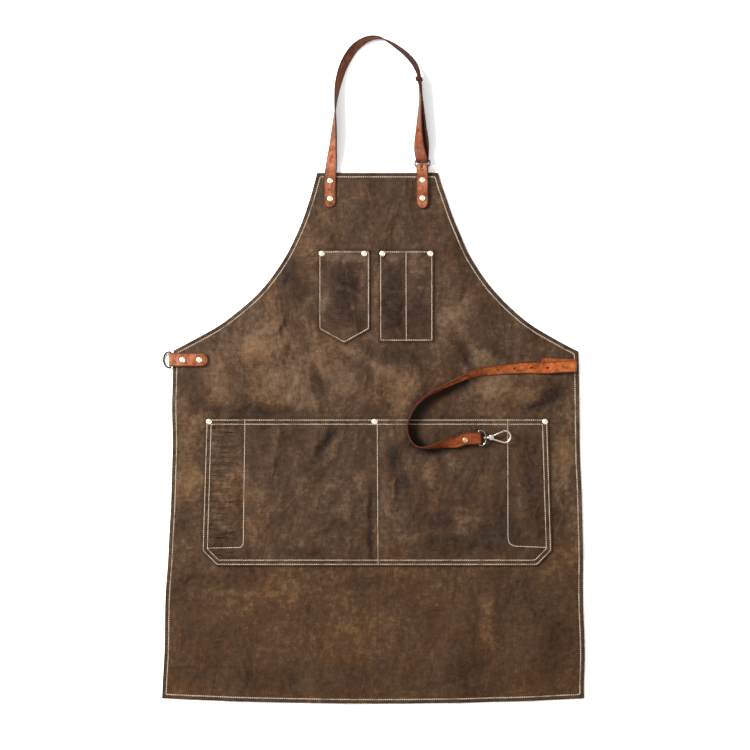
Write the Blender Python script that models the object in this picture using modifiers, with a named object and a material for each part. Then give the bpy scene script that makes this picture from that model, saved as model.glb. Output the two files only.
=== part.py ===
"""Waxed canvas work apron with leather straps, lying on its back.

Lengths are in metres. The hem lies towards -Y and the neck strap towards +Y, the cloth rests on z = 0,
and the origin is below the middle of the whole thing.
"""

import math
from collections import namedtuple

import bmesh
import bpy
from mathutils import Matrix, Vector

# Room left between pieces that touch
GAP = 0.0003

# Canvas body
BODY_LENGTH = 0.817
SKIRT_LENGTH = 0.540
HEM_WIDTH = 0.6515
HEM_SAG = 0.0077
WAIST_WIDTH = 0.6253
WAIST_SHIFT = 0.0039
CHEST_WIDTH = 0.1868
CHEST_SHIFT = 0.0070
CANVAS = 0.0012
HEM_TURN = 0.0080
HEM_FOLD = 0.0013
FOLD_HEIGHT = 0.0055
LATTICE = 0.022

# The armhole is a curve whose two handles are shares of its width and of its height
ARMHOLE_TOP_HANDLE = (0.14, 0.42)
ARMHOLE_WAIST_HANDLE = (0.38, 0.76)
ARMHOLE_STEPS = 13
HEM_STEPS = 8

# Patch pockets: the room inside rises from the seams in a rounded slope
ROOM_RISE = 0.0052
ROOM_SLOPE = 0.0220
ROOM_SLOPE_SHARE = 0.30
ROOM_PROFILE = ((0.0, 0.0), (0.35, 0.60), (1.0, 1.0))
CHEST_POCKET_DROP = 0.1197
POINTED_WIDTH = 0.0800
POINTED_DEPTH = 0.1442
POINTED_TIP = 0.0222
POINTED_OFFSET = -0.0514
DIVIDED_WIDTH = 0.0840
DIVIDED_DEPTH = 0.1411
DIVIDED_OFFSET = 0.0444
LOWER_DROP = 0.1019
LOWER_TOP_WIDTH = 0.5285
LOWER_FOOT_WIDTH = 0.5410
LOWER_DEPTH = 0.2277
LOWER_OFFSET = 0.0060
LOWER_CHAMFER = 0.0230
POCKET_RIVET_INSET = 0.0050
LOWER_MIDDLE_RIVET = 0.4925
POINTED_RIVET_INSET = 0.0093

# Straps: where the waist strap's loop leaves its straight run is a share of its reach
NECK_RISE = 0.2100
STRAP_WIDTH = 0.0180
STRAP_THICK = 0.0022
WAIST_REACH = 0.2640
WAIST_FALL = 0.1266
WAIST_STRAP_DROP = 0.0200
WAIST_LOWER_LENGTH = 0.0435
WAIST_LOOP_START = 0.64
WAIST_EYE_RUN = 0.0225
WAIST_EDGE_INSET = 0.0025
RETURN_LENGTH = 0.0185
RETURN_FLAT = 0.0045
RETURN_RISE_START = 0.45
RETURN_SAG = 0.00031
RETURN_SKEW = 7.0
HOLE_RADIUS = 0.0018
HOLE_PITCH = 0.0255
WAIST_HOLES = 5
FIRST_HOLE = 0.0400
FREE_HOLE_BACK = 0.0850

# Riveted tabs, whose layers close towards the rivets in the shares of their slope below
TAB_THICK = 0.0020
TAB_SLOPE_SHARES = (0.0, 0.35, 0.7)
BUCKLE_TAB_WIDTH = 0.0178
BUCKLE_TAB_LENGTH = 0.0645
BUCKLE_TAB_SLOPE = 0.0170
RING_TAB_WIDTH = 0.0205
RING_TAB_LENGTH = 0.0572
RING_TAB_SLOPE = 0.0110
RING_TAB_DROP = 0.0115
RING_OVERHANG = 0.0025

# Rivets of the straps and tabs, measured from the chest's edge, from the ring's bar and from the fold
NECK_STRAP_RIVETS = (0.0124, 0.0401)
BUCKLE_TAB_RIVETS = (0.0114, 0.0394)
RING_TAB_RIVETS = (0.0175, 0.0436)
WAIST_STRAP_RIVETS = (0.0125, 0.0330)
HOOK_END_RIVET = (0.0215, 0.0015)

# Rivets
CAP_RADIUS = 0.0043
CAP_HEIGHT = 0.0016
CAP_SHOULDER = (0.66, 0.78)
SHANK_RADIUS = 0.0015
BACK_RADIUS = 0.0027
BACK_THICK = 0.0008
ROUND_SIDES = 10

# Neck buckle, measured between the middles of its wires
BUCKLE_WIRE = 0.0026
BUCKLE_SPAN = 0.0230
BUCKLE_BARS = 0.0095
BUCKLE_CORNER = 0.0030
BUCKLE_HEIGHT = 0.0083
BUCKLE_TILT = 12.0
BUCKLE_ABOVE_EDGE = 0.0095
BUCKLE_ALONG = 0.8696
PRONG_WIRE = 0.0020
PRONG_PAST_BAR = 0.0022
PRONG_FLAT = 0.8
PRONG_RING_SIDES = 12
KEEPER_WIDTH = 0.0060
KEEPER_THICK = 0.0013
KEEPER_BACK = 0.0030
KEEPER_ROOM = 0.0010

# D ring
RING_WIRE = 0.0022
RING_DEPTH = 0.0125
RING_SHOULDER = 0.0040
RING_CORNER = 0.0012

# Snap hook, measured along its length from the eye's bar
EYE_WIRE = 0.0024
EYE_SPAN = 0.0231
EYE_DEPTH = 0.0105
EYE_CORNER = 0.0020
EYE_STRAIGHT = 0.0035
EYE_BAR_HEIGHT = 0.0094
COLLAR_RADIUS = 0.0032
COLLAR_LENGTH = 0.0036
STEM_RADIUS = 0.0013
STEM_HEAD_RADIUS = 0.0024
STEM_HEAD_LENGTH = 0.0012
NECK_RADIUS = 0.0022
KNOB_START = 0.0160
KNOB_LENGTH = 0.0068
KNOB_WIDTH = 0.0080
KNOB_THICK = 0.0060
KNOB_BEVEL = 0.0011
KNOB_OVERLAP = 0.0012
ROOT_ALONG = 0.0208
ROOT_ASIDE = -0.0026
HOOK_WIRE = 0.0024
BOW_REACH = 0.0394
BOW_RADIUS = 0.0090
NOSE_ANGLE = 98.0
GATE_THICK = 0.0020
GATE_PIN_RADIUS = 0.0008
GATE_ROOT_RADIUS = 0.0019
GATE_PIVOT = (0.0202, 0.0016)
GATE_ROOM = 0.0004
NOSE_GAP = 0.0006
HOOK_HEADING = 3.5
HOOK_SWING_ROOM = 0.0004

# Heights and places that follow from those sizes
HEM_Y = -(BODY_LENGTH + NECK_RISE) / 2
CHEST_Y = HEM_Y + BODY_LENGTH
WAIST_Y = HEM_Y + SKIRT_LENGTH
CHEST_LEFT = CHEST_SHIFT - CHEST_WIDTH / 2
CANVAS_TOP = HEM_FOLD + CANVAS
POCKET_TOP = CANVAS_TOP + GAP + CANVAS
BED_HEIGHTS = (0.0, CANVAS_TOP, POCKET_TOP)
HALF_STRAP = STRAP_WIDTH / 2

# Folds of the body: middle as shares of half the hem and of the length above it, sizes as shares of the
# body's length, height as a share of FOLD_HEIGHT, angle in degrees from the hem
Fold = namedtuple("Fold", "across up angle length width height")
FOLDS = (
    Fold(-0.46, 0.730, 58, 0.26, 0.120, 1.0),
    Fold(0.52, 0.735, 124, 0.24, 0.120, 1.0),
    Fold(0.02, 0.585, -20, 0.22, 0.100, 0.9),
    Fold(-0.48, 0.590, 6, 0.30, 0.110, 1.0),
    Fold(0.30, 0.620, 70, 0.16, 0.090, 0.6),
    Fold(-0.66, 0.085, 100, 0.26, 0.130, 0.8),
    Fold(-0.12, 0.070, 84, 0.24, 0.120, 0.7),
    Fold(0.40, 0.085, 92, 0.27, 0.110, 1.0),
    Fold(0.76, 0.070, 74, 0.24, 0.120, 0.8),
)

# Rooms of the pockets, as shares of their width and depth; ceiling 0 is an open mouth
Room = namedtuple("Room", "left right ceiling floor")
POINTED_ROOMS = (Room(0.125, 0.824, 0.0, 0.84),)
DIVIDED_ROOMS = (Room(0.120, 0.485, 0.0, 0.975), Room(0.515, 0.880, 0.0, 0.975))
LOWER_ROOMS = (
    Room(0.020, 0.112, 0.0, 0.880),
    Room(0.121, 0.483, 0.0, 0.960),
    Room(0.513, 0.574, 0.0, 0.960),
    Room(0.513, 0.881, 0.23, 0.960),
    Room(0.892, 0.980, 0.0, 0.880),
)

# Routes of the straps, a row for each place where one turns or rolls. The first two columns are shares
# of the named sizes that the route spans, roll is in degrees from face up, bed is the layer it lies on
# (0 table, 1 body, 2 pocket) and lift a share of the strap's width that it stands clear of it.
Turn = namedtuple("Turn", "along up roll bed lift", defaults=(0.0,))
NECK_ROUTE = (
    Turn(0.107, -0.211, 0, 1),
    Turn(0.108, -0.059, 0, 1),
    Turn(0.110, -0.026, 1, 1),
    Turn(0.114, 0.015, 8, 1),
    Turn(0.121, 0.074, 24, 0),
    Turn(0.130, 0.169, 48, 0),
    Turn(0.138, 0.257, 60, 0),
    Turn(0.144, 0.353, 72, 0),
    Turn(0.149, 0.449, 88, 0),
    Turn(0.157, 0.544, 101, 0),
    Turn(0.169, 0.625, 113, 0),
    Turn(0.188, 0.699, 122, 0),
    Turn(0.218, 0.779, 128, 0),
    Turn(0.258, 0.849, 130, 0),
    Turn(0.312, 0.914, 126, 0),
    Turn(0.380, 0.961, 115, 0),
    Turn(0.446, 0.985, 103, 0),
    Turn(0.511, 0.9875, 91, 0),
    Turn(0.581, 0.965, 77, 0),
    Turn(0.653, 0.924, 69, 0),
    Turn(0.727, 0.873, 65, 0),
    Turn(0.788, 0.814, 64, 0, 0.06),
    Turn(0.826, 0.754, 67, 0, 0.14),
    Turn(0.846, 0.690, 77, 0, 0.18),
    Turn(0.858, 0.625, 83, 0, 0.15),
    Turn(0.868, 0.537, 90, 0, 0.06),
    Turn(0.876, 0.426, 100, 0),
    Turn(0.883, 0.316, 112, 0),
    Turn(0.886, 0.221, 132, 0),
    Turn(0.879, 0.154, 153, 0),
)
FREE_ROUTE = (
    Turn(0.850, 0.147, 22, 0, 0.41),
    Turn(0.842, 0.206, 38, 0, 0.24),
    Turn(0.842, 0.279, 54, 0, 0.12),
    Turn(0.844, 0.353, 66, 0, 0.06),
    Turn(0.847, 0.449, 80, 0, 0.04),
    Turn(0.845, 0.537, 88, 0, 0.08),
    Turn(0.838, 0.610, 95, 0, 0.14),
    Turn(0.833, 0.669, 102, 0, 0.18),
)
WAIST_ROUTE = (
    Turn(0.070, 0.015, 0, 1, 0.245),
    Turn(0.129, 0.024, 0, 1, 0.240),
    Turn(0.175, 0.030, 2, 1, 0.200),
    Turn(0.222, 0.032, 8, 1, 0.060),
    Turn(0.281, 0.030, 14, 1),
    Turn(0.339, 0.032, 20, 1),
    Turn(0.398, 0.039, 27, 1),
    Turn(0.456, 0.051, 33, 1),
    Turn(0.515, 0.063, 40, 1),
    Turn(0.567, 0.078, 49, 1),
    Turn(0.624, 0.112, 60, 1),
    Turn(0.684, 0.163, 66, 1),
    Turn(0.743, 0.218, 71, 1),
    Turn(0.802, 0.279, 75, 1),
    Turn(0.861, 0.341, 78, 1),
    Turn(0.919, 0.429, 81, 1, 0.02),
    Turn(0.965, 0.545, 83, 1, 0.07),
    Turn(0.992, 0.671, 85, 2),
    Turn(0.999, 0.780, 86, 2),
    Turn(0.987, 0.882, 88, 2),
    Turn(0.960, 0.960, 90, 2),
    Turn(0.922, 0.999, 93, 2),
    Turn(0.874, 0.995, 102, 2),
    Turn(0.819, 0.968, 120, 2, 0.03),
    Turn(0.766, 0.949, 138, 2, 0.09),
    Turn(0.713, 0.934, 160, 2, 0.24),
)

# Where the hook's eye lies, as shares of the waist strap's two sizes
EYE_ALONG = 0.580
EYE_DOWN = 0.886

Station = namedtuple("Station", "centre across half")
Rivet = namedtuple("Rivet", "name x y low high")
FINISHES = {
    "canvas": ((0.105, 0.066, 0.040), 0.72, 0.0),
    "pocket_canvas": ((0.085, 0.056, 0.038), 0.72, 0.0),
    "leather": ((0.42, 0.150, 0.062), 0.48, 0.0),
    "steel": ((0.62, 0.61, 0.59), 0.25, 1.0),
    "dark_steel": ((0.16, 0.16, 0.16), 0.35, 1.0),
    "rivet_cap": ((0.86, 0.80, 0.66), 0.28, 1.0),
    "brass": ((0.80, 0.60, 0.32), 0.28, 1.0),
}


# Objects and materials

def clear_scene():
    for obj in list(bpy.data.objects):
        bpy.data.objects.remove(obj)


def collection(name):
    made = bpy.data.collections.new(name)
    bpy.context.scene.collection.children.link(made)
    return made


def material(name):
    if name in bpy.data.materials:
        return bpy.data.materials[name]
    colour, roughness, metallic = FINISHES[name]
    made = bpy.data.materials.new(name)
    made.use_nodes = True
    shader = made.node_tree.nodes["Principled BSDF"]
    shader.inputs["Base Color"].default_value = (*colour, 1.0)
    shader.inputs["Roughness"].default_value = roughness
    shader.inputs["Metallic"].default_value = metallic
    return made


def piece(name, bm, finish, place=Matrix.Identity(4), smooth=False):
    bmesh.ops.recalc_face_normals(bm, faces=bm.faces[:])
    mesh = bpy.data.meshes.new(name)
    bm.to_mesh(mesh)
    bm.free()
    if smooth:
        mesh.shade_smooth()
        mesh.set_sharp_from_angle(angle=math.radians(40))
    obj = bpy.data.objects.new(name, mesh)
    obj.matrix_world = place
    mesh.materials.append(material(finish))
    bpy.data.collections["apron"].objects.link(obj)
    return obj


def helper(name, bm, place=Matrix.Identity(4)):
    bmesh.ops.recalc_face_normals(bm, faces=bm.faces[:])
    mesh = bpy.data.meshes.new(name)
    bm.to_mesh(mesh)
    bm.free()
    obj = bpy.data.objects.new(name, mesh)
    obj.matrix_world = place
    obj.hide_render = True
    obj.display_type = "WIRE"
    bpy.data.collections["cutters"].objects.link(obj)
    return obj


def change(obj, tool, operation):
    step = obj.modifiers.new(tool.name, "BOOLEAN")
    step.object = tool
    step.operation = operation
    step.solver = "EXACT"


def ride_on(child, parent):
    child.parent = parent
    child.matrix_parent_inverse = parent.matrix_world.inverted()


# Solids made from simple shapes

def cylinder(bm, start, end, radius):
    start, end = Vector(start), Vector(end)
    turn = (end - start).to_track_quat("Z", "Y").to_matrix().to_4x4()
    place = Matrix.Translation((start + end) / 2) @ turn
    bmesh.ops.create_cone(
        bm, cap_ends=True, segments=ROUND_SIDES, radius1=radius, radius2=radius,
        depth=(end - start).length, matrix=place,
    )


def box(bm, low, high):
    low, high = Vector(low), Vector(high)
    sides = high - low
    place = Matrix.Translation((low + high) / 2) @ Matrix.Diagonal((*sides, 1.0))
    bmesh.ops.create_cube(bm, size=1.0, matrix=place)


def wire(points, radius, closed):
    """Mesh of a round wire through the points."""
    data = bpy.data.curves.new("wire", "CURVE")
    data.dimensions = "3D"
    data.bevel_depth = radius
    data.bevel_resolution = 2
    data.use_fill_caps = not closed
    line = data.splines.new("POLY")
    line.points.add(len(points) - 1)
    for point, place in zip(line.points, points):
        point.co = (*place, 1.0)
    line.use_cyclic_u = closed
    obj = bpy.data.objects.new("wire", data)
    bpy.context.scene.collection.objects.link(obj)
    graph = bpy.context.evaluated_depsgraph_get()
    mesh = bpy.data.meshes.new_from_object(obj.evaluated_get(graph))
    bm = bmesh.new()
    bm.from_mesh(mesh)
    bmesh.ops.remove_doubles(bm, verts=bm.verts[:], dist=1e-6)
    bpy.data.objects.remove(obj)
    bpy.data.curves.remove(data)
    bpy.data.meshes.remove(mesh)
    return bm


def arc(middle, radius, start, end, steps):
    """Points of an arc in the XY plane, angles in degrees."""
    points = []
    for i in range(steps + 1):
        angle = math.radians(start + (end - start) * i / steps)
        points.append(Vector((middle[0] + radius * math.cos(angle), middle[1] + radius * math.sin(angle), 0)))
    return points


# Cloth

def body_edge(side, y):
    """X of the body's straight side edge at y, between the hem and the waist."""
    share = (y - HEM_Y) / SKIRT_LENGTH
    hem = side * HEM_WIDTH / 2
    waist = WAIST_SHIFT + side * WAIST_WIDTH / 2
    return hem + (waist - hem) * share


def armhole(side):
    """Points from the chest's corner down to the waist's corner, both included."""
    top = Vector((CHEST_SHIFT + side * CHEST_WIDTH / 2, CHEST_Y))
    waist = Vector((WAIST_SHIFT + side * WAIST_WIDTH / 2, WAIST_Y))
    span = waist - top
    shares = (ARMHOLE_TOP_HANDLE, ARMHOLE_WAIST_HANDLE)
    handles = [Vector((top.x + span.x * across, top.y + span.y * down)) for across, down in shares]
    points = []
    for i in range(ARMHOLE_STEPS + 1):
        t = i / ARMHOLE_STEPS
        s = 1 - t
        points.append(top * s**3 + handles[0] * (3 * t * s * s) + handles[1] * (3 * t * t * s) + waist * t**3)
    return points


def body_outline():
    points = []
    for i in range(HEM_STEPS + 1):
        share = 2 * i / HEM_STEPS - 1
        points.append(Vector((share * HEM_WIDTH / 2, HEM_Y + HEM_SAG * share * share)))
    points += reversed(armhole(1))
    points += armhole(-1)
    return points


def fold_height(x, y):
    total = 0.0
    for fold in FOLDS:
        dx = x - fold.across * HEM_WIDTH / 2
        dy = y - (HEM_Y + fold.up * BODY_LENGTH)
        angle = math.radians(fold.angle)
        run = (dx * math.cos(angle) + dy * math.sin(angle)) / (fold.length * BODY_LENGTH / 2)
        aside = (dy * math.cos(angle) - dx * math.sin(angle)) / (fold.width * BODY_LENGTH / 2)
        if abs(run) < 1 and abs(aside) < 1:
            shape = math.cos(run * math.pi / 2) * math.cos(aside * math.pi / 2)
            total += fold.height * FOLD_HEIGHT * shape * shape
    return total


def calm_zones():
    """Rectangles (left, low, right, high) in which the body lies flat, under pockets, tabs and straps."""
    right = body_edge(1, WAIST_Y)
    left = body_edge(-1, WAIST_Y)
    strap_y = WAIST_Y - WAIST_STRAP_DROP
    loop = right - WAIST_REACH * WAIST_LOOP_START
    pocket_top = CHEST_Y - CHEST_POCKET_DROP
    lower_top = WAIST_Y - LOWER_DROP
    middle = CHEST_SHIFT
    return (
        (CHEST_LEFT, CHEST_Y - BUCKLE_TAB_LENGTH, CHEST_LEFT + CHEST_WIDTH, CHEST_Y),
        (middle + POINTED_OFFSET - POINTED_WIDTH / 2, pocket_top - POINTED_DEPTH,
         middle + POINTED_OFFSET + POINTED_WIDTH / 2, pocket_top),
        (middle + DIVIDED_OFFSET - DIVIDED_WIDTH / 2, pocket_top - DIVIDED_DEPTH,
         middle + DIVIDED_OFFSET + DIVIDED_WIDTH / 2, pocket_top),
        (LOWER_OFFSET - LOWER_FOOT_WIDTH / 2, lower_top - LOWER_DEPTH,
         LOWER_OFFSET + LOWER_FOOT_WIDTH / 2, lower_top),
        (left, WAIST_Y - RING_TAB_DROP - RING_TAB_WIDTH / 2, left + RING_TAB_LENGTH, WAIST_Y),
        (loop - STRAP_WIDTH, strap_y - STRAP_WIDTH, right, WAIST_Y),
        (right - WAIST_REACH - STRAP_WIDTH, strap_y - WAIST_FALL, loop + STRAP_WIDTH, strap_y),
    )


def calmness(x, y):
    """0 where a lattice cell touches a flat zone, rising to 1 one cell further out."""
    factor = 1.0
    for left, low, right, high in calm_zones():
        away = max(left - x, x - right, low - y, y - high)
        factor = min(factor, max(0.0, away / LATTICE - 1))
    return factor


def node_height(column, row):
    x, y = column * LATTICE, row * LATTICE
    return fold_height(x, y) * calmness(x, y)


def drape(x, y):
    """Height of the body's underside above the table, flat inside each triangle of the lattice."""
    column, row = math.floor(x / LATTICE), math.floor(y / LATTICE)
    u, v = x / LATTICE - column, y / LATTICE - row
    right, above = node_height(column + 1, row), node_height(column, row + 1)
    if u + v <= 1:
        corner = node_height(column, row)
        return corner + u * (right - corner) + v * (above - corner)
    corner = node_height(column + 1, row + 1)
    return corner + (1 - u) * (above - corner) + (1 - v) * (right - corner)


def flat_face(bm, outline):
    face = bm.faces.new([bm.verts.new((x, y, 0.0)) for x, y in outline])
    face.normal_update()
    return face


def cut_line(bm, point, normal):
    parts = bm.verts[:] + bm.edges[:] + bm.faces[:]
    bmesh.ops.bisect_plane(bm, geom=parts, plane_co=(*point, 0.0), plane_no=(*normal, 0.0), dist=2e-5)


def cut_lattice(bm):
    xs = [v.co.x for v in bm.verts]
    ys = [v.co.y for v in bm.verts]
    columns = range(math.floor(min(xs) / LATTICE), math.ceil(max(xs) / LATTICE) + 1)
    rows = range(math.floor(min(ys) / LATTICE), math.ceil(max(ys) / LATTICE) + 1)
    for column in columns:
        cut_line(bm, (column * LATTICE, 0.0), (1.0, 0.0))
    for row in rows:
        cut_line(bm, (0.0, row * LATTICE), (0.0, 1.0))
    for step in range(columns[0] + rows[0], columns[-1] + rows[-1] + 1):
        cut_line(bm, (step * LATTICE, 0.0), (1.0, 1.0))


def extrude(bm, faces):
    edges = {edge for face in faces for edge in face.edges}
    made = bmesh.ops.extrude_face_region(bm, geom=[*faces, *edges])["geom"]
    return [part for part in made if isinstance(part, bmesh.types.BMVert)]


def make_body():
    """The sheet of canvas, with its hem turned under along every edge."""
    bm = bmesh.new()
    marked = bm.faces.layers.int.new("hem")
    sheet = flat_face(bm, body_outline())
    border = bmesh.ops.inset_individual(bm, faces=[sheet], thickness=HEM_TURN, use_even_offset=True)
    for face in border["faces"]:
        face[marked] = 1
    cut_lattice(bm)
    bmesh.ops.triangulate(bm, faces=bm.faces[:])
    under = bm.faces[:]
    height = {vert: HEM_FOLD for vert in bm.verts}
    for vert in extrude(bm, under):
        height[vert] = CANVAS_TOP
    hem = [face for face in under if face.is_valid and face[marked]]
    for vert in extrude(bm, hem):
        height[vert] = 0.0
    for vert in bm.verts:
        vert.co.z = drape(vert.co.x, vert.co.y) + height.get(vert, HEM_FOLD)
    return piece("apron_body", bm, "canvas")


def room_edges(room, pocket):
    """Left, right, floor and ceiling of a room, with the run of its slope."""
    left, top, width, depth, rooms = pocket
    start, end = left + room.left * width, left + room.right * width
    slope = min(ROOM_SLOPE, ROOM_SLOPE_SHARE * (end - start))
    ceiling = top - room.ceiling * depth if room.ceiling else top + slope
    return start, end, top - room.floor * depth, ceiling, slope


def room_rise(x, y, pocket):
    """How far the pocket stands off the body at a point, from the rooms that hold it."""
    most = 0.0
    for room in pocket[-1]:
        start, end, floor, ceiling, slope = room_edges(room, pocket)
        inside = min(x - start, end - x, y - floor, ceiling - y) / slope
        for (near, low), (far, high) in zip(ROOM_PROFILE, ROOM_PROFILE[1:]):
            if near < inside <= far:
                most = max(most, low + (high - low) * (inside - near) / (far - near))
        if inside > 1:
            most = 1.0
    return ROOM_RISE * most


def make_pocket(name, outline, pocket):
    """A patch of canvas sewn down along its sides and foot, open along its top edge."""
    bm = bmesh.new()
    flat_face(bm, outline)
    for room in pocket[-1]:
        start, end, floor, ceiling, slope = room_edges(room, pocket)
        for share, rise in ROOM_PROFILE:
            run = share * slope
            cut_line(bm, (start + run, 0.0), (1.0, 0.0))
            cut_line(bm, (end - run, 0.0), (1.0, 0.0))
            cut_line(bm, (0.0, floor + run), (0.0, 1.0))
            cut_line(bm, (0.0, ceiling - run), (0.0, 1.0))
    bmesh.ops.triangulate(bm, faces=bm.faces[:])
    upper = set(extrude(bm, bm.faces[:]))
    for vert in bm.verts:
        low = CANVAS_TOP + GAP + room_rise(vert.co.x, vert.co.y, pocket)
        vert.co.z = low + (CANVAS if vert in upper else 0.0)
    return piece(name, bm, "pocket_canvas")


def pointed_pocket():
    middle = CHEST_SHIFT + POINTED_OFFSET
    half = POINTED_WIDTH / 2
    top = CHEST_Y - CHEST_POCKET_DROP
    shoulder = top - POINTED_DEPTH + POINTED_TIP
    outline = (
        (middle - half, top), (middle - half, shoulder), (middle, top - POINTED_DEPTH),
        (middle + half, shoulder), (middle + half, top),
    )
    return outline, (middle - half, top, POINTED_WIDTH, POINTED_DEPTH, POINTED_ROOMS)


def divided_pocket():
    middle = CHEST_SHIFT + DIVIDED_OFFSET
    half = DIVIDED_WIDTH / 2
    top = CHEST_Y - CHEST_POCKET_DROP
    outline = (
        (middle - half, top), (middle - half, top - DIVIDED_DEPTH),
        (middle + half, top - DIVIDED_DEPTH), (middle + half, top),
    )
    return outline, (middle - half, top, DIVIDED_WIDTH, DIVIDED_DEPTH, DIVIDED_ROOMS)


def lower_pocket():
    top_half, foot_half = LOWER_TOP_WIDTH / 2, LOWER_FOOT_WIDTH / 2
    top = WAIST_Y - LOWER_DROP
    foot = top - LOWER_DEPTH
    outline = (
        (LOWER_OFFSET - top_half, top),
        (LOWER_OFFSET - foot_half, foot + LOWER_CHAMFER),
        (LOWER_OFFSET - foot_half + LOWER_CHAMFER, foot),
        (LOWER_OFFSET + foot_half - LOWER_CHAMFER, foot),
        (LOWER_OFFSET + foot_half, foot + LOWER_CHAMFER),
        (LOWER_OFFSET + top_half, top),
    )
    return outline, (LOWER_OFFSET - top_half, top, LOWER_TOP_WIDTH, LOWER_DEPTH, LOWER_ROOMS)


# Leather

def smooth(rows, steps):
    """Points of a smooth line through the rows, each a vector of x, y, z and roll."""
    ends = [2 * rows[0] - rows[1], *rows, 2 * rows[-1] - rows[-2]]
    points = []
    for a, b, c, d in zip(ends, ends[1:], ends[2:], ends[3:]):
        for i in range(steps):
            t = i / steps
            bend = (2 * a - 5 * b + 4 * c - d) * t * t + (3 * b - a - 3 * c + d) * t**3
            points.append((2 * b + (c - a) * t + bend) / 2)
    points.append(rows[-1])
    return points


def rest_height(roll, bed, lift):
    """Height of a strap's middle line when it lies on a bed at this roll."""
    angle = math.radians(roll)
    standing = HALF_STRAP * abs(math.sin(angle)) + STRAP_THICK / 2 * abs(math.cos(angle))
    return BED_HEIGHTS[bed] + GAP + standing + lift * STRAP_WIDTH


def rolled(points):
    """Stations along a line, the width turned by each point's roll about the line."""
    stations = []
    last = len(points) - 1
    for i, point in enumerate(points):
        ahead = points[min(i + 1, last)] - points[max(i - 1, 0)]
        heading = Vector((ahead.x, ahead.y, 0)).normalized()
        right = Vector((heading.y, -heading.x, 0))
        roll = math.radians(point.w)
        across = right * math.cos(roll) + Vector((0, 0, math.sin(roll)))
        stations.append(Station(point.xyz, across, HALF_STRAP))
    return stations


def half_turn(middle, radius, start, out, across, half, steps=6):
    """Stations of a fold from start, round through out, to the side opposite start."""
    stations = []
    for i in range(steps + 1):
        angle = math.pi * i / steps
        centre = middle + radius * (start * math.cos(angle) + out * math.sin(angle))
        stations.append(Station(centre, across, half))
    return stations


def round_end(centre, across, outward, half):
    """Stations from a strap's full width to its rounded tip."""
    stations = []
    for degrees in (0, 24, 46, 64, 79):
        angle = math.radians(degrees)
        stations.append(Station(centre + outward * half * math.sin(angle), across, half * math.cos(angle)))
    return stations


def strip(bm, stations, thick, closed=False):
    """Lofts a flat strip through the stations."""
    rings = []
    last = len(stations) - 1
    for i, station in enumerate(stations):
        before = stations[i - 1] if closed or i else stations[0]
        after = stations[(i + 1) % len(stations)] if closed else stations[min(i + 1, last)]
        face = station.across.cross(after.centre - before.centre).normalized() * (thick / 2)
        side = station.across.normalized() * station.half
        corners = (-side - face, side - face, side + face, face - side)
        rings.append([bm.verts.new(station.centre + corner) for corner in corners])
    pairs = list(zip(rings, rings[1:]))
    if closed:
        pairs.append((rings[-1], rings[0]))
    else:
        bm.faces.new(rings[0])
        bm.faces.new(rings[-1])
    for near, far in pairs:
        for i in range(4):
            bm.faces.new((near[i], near[(i + 1) % 4], far[(i + 1) % 4], far[i]))


def at_distance(stations, distance):
    """Centre and face direction of a strip at a distance along it."""
    for near, far in zip(stations, stations[1:]):
        step = far.centre - near.centre
        if distance <= step.length:
            share = distance / step.length
            across = near.across.lerp(far.across, share)
            return near.centre + step * share, across.cross(step).normalized()
        distance -= step.length
    raise ValueError("the strip ends before that distance")


def punch(bm, stations, distance):
    centre, face = at_distance(stations, distance)
    cylinder(bm, centre - face * STRAP_THICK, centre + face * STRAP_THICK, HOLE_RADIUS)


def length_of(stations):
    return sum((far.centre - near.centre).length for near, far in zip(stations, stations[1:]))


def buckle_place():
    """Frame of the neck buckle: its lower bar along X, its upper bar towards +Y."""
    x = CHEST_LEFT + BUCKLE_ALONG * CHEST_WIDTH
    place = Matrix.Translation((x, CHEST_Y + BUCKLE_ABOVE_EDGE, BUCKLE_HEIGHT))
    return place @ Matrix.Rotation(-math.radians(BUCKLE_TILT), 4, "Y")


def ring_place():
    """Frame of the D ring's bar: along world Y, with the ring towards local +Y, which is -X."""
    bar_radius = RING_WIRE / 2 + GAP + TAB_THICK / 2
    y = WAIST_Y - RING_TAB_DROP
    x = body_edge(-1, y) - RING_OVERHANG
    z = CANVAS_TOP + GAP + TAB_THICK / 2 + bar_radius
    return Matrix.Translation((x, y, z)) @ Matrix.Rotation(math.radians(90), 4, "Z")


def folded_tab(place, length, width, slope, wire_width):
    """Stations of a tab folded over a bar, its two layers pressed flat on the canvas beyond the slope."""
    flat = Matrix.Translation(place.translation) @ Matrix.Rotation(heading_of(place), 4, "Z")
    radius = wire_width / 2 + GAP + TAB_THICK / 2
    bar_across = (place.to_3x3() @ Vector((1, 0, 0))).normalized()
    bar_up = (place.to_3x3() @ Vector((0, 0, 1))).normalized()
    out = (flat.to_3x3() @ Vector((0, 1, 0))).normalized()
    flat_across = (flat.to_3x3() @ Vector((1, 0, 0))).normalized()
    layers = (CANVAS_TOP + GAP + TAB_THICK / 2, CANVAS_TOP + 2 * GAP + TAB_THICK * 1.5)
    sides = []
    for layer, side in zip(layers, (-1, 1)):
        low = Vector((place.translation.x, place.translation.y, layer))
        high = place.translation + bar_up * radius * side
        stations = round_end(low - out * (length - width / 2), flat_across, -out, width / 2)[::-1]
        for share in TAB_SLOPE_SHARES:
            ease = share * share * (3 - 2 * share)
            centre = low.lerp(high, ease) - out * slope * (1 - share)
            stations.append(Station(centre, flat_across.lerp(bar_across, ease), width / 2))
        sides.append(stations)
    fold = half_turn(place.translation, radius, -bar_up, out, bar_across, width / 2)
    return sides[0] + fold + sides[1][::-1]


def heading_of(place):
    """Angle of the frame's local Y about the vertical, from world Y."""
    out = place.to_3x3() @ Vector((0, 1, 0))
    return math.atan2(-out.x, out.y)


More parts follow.
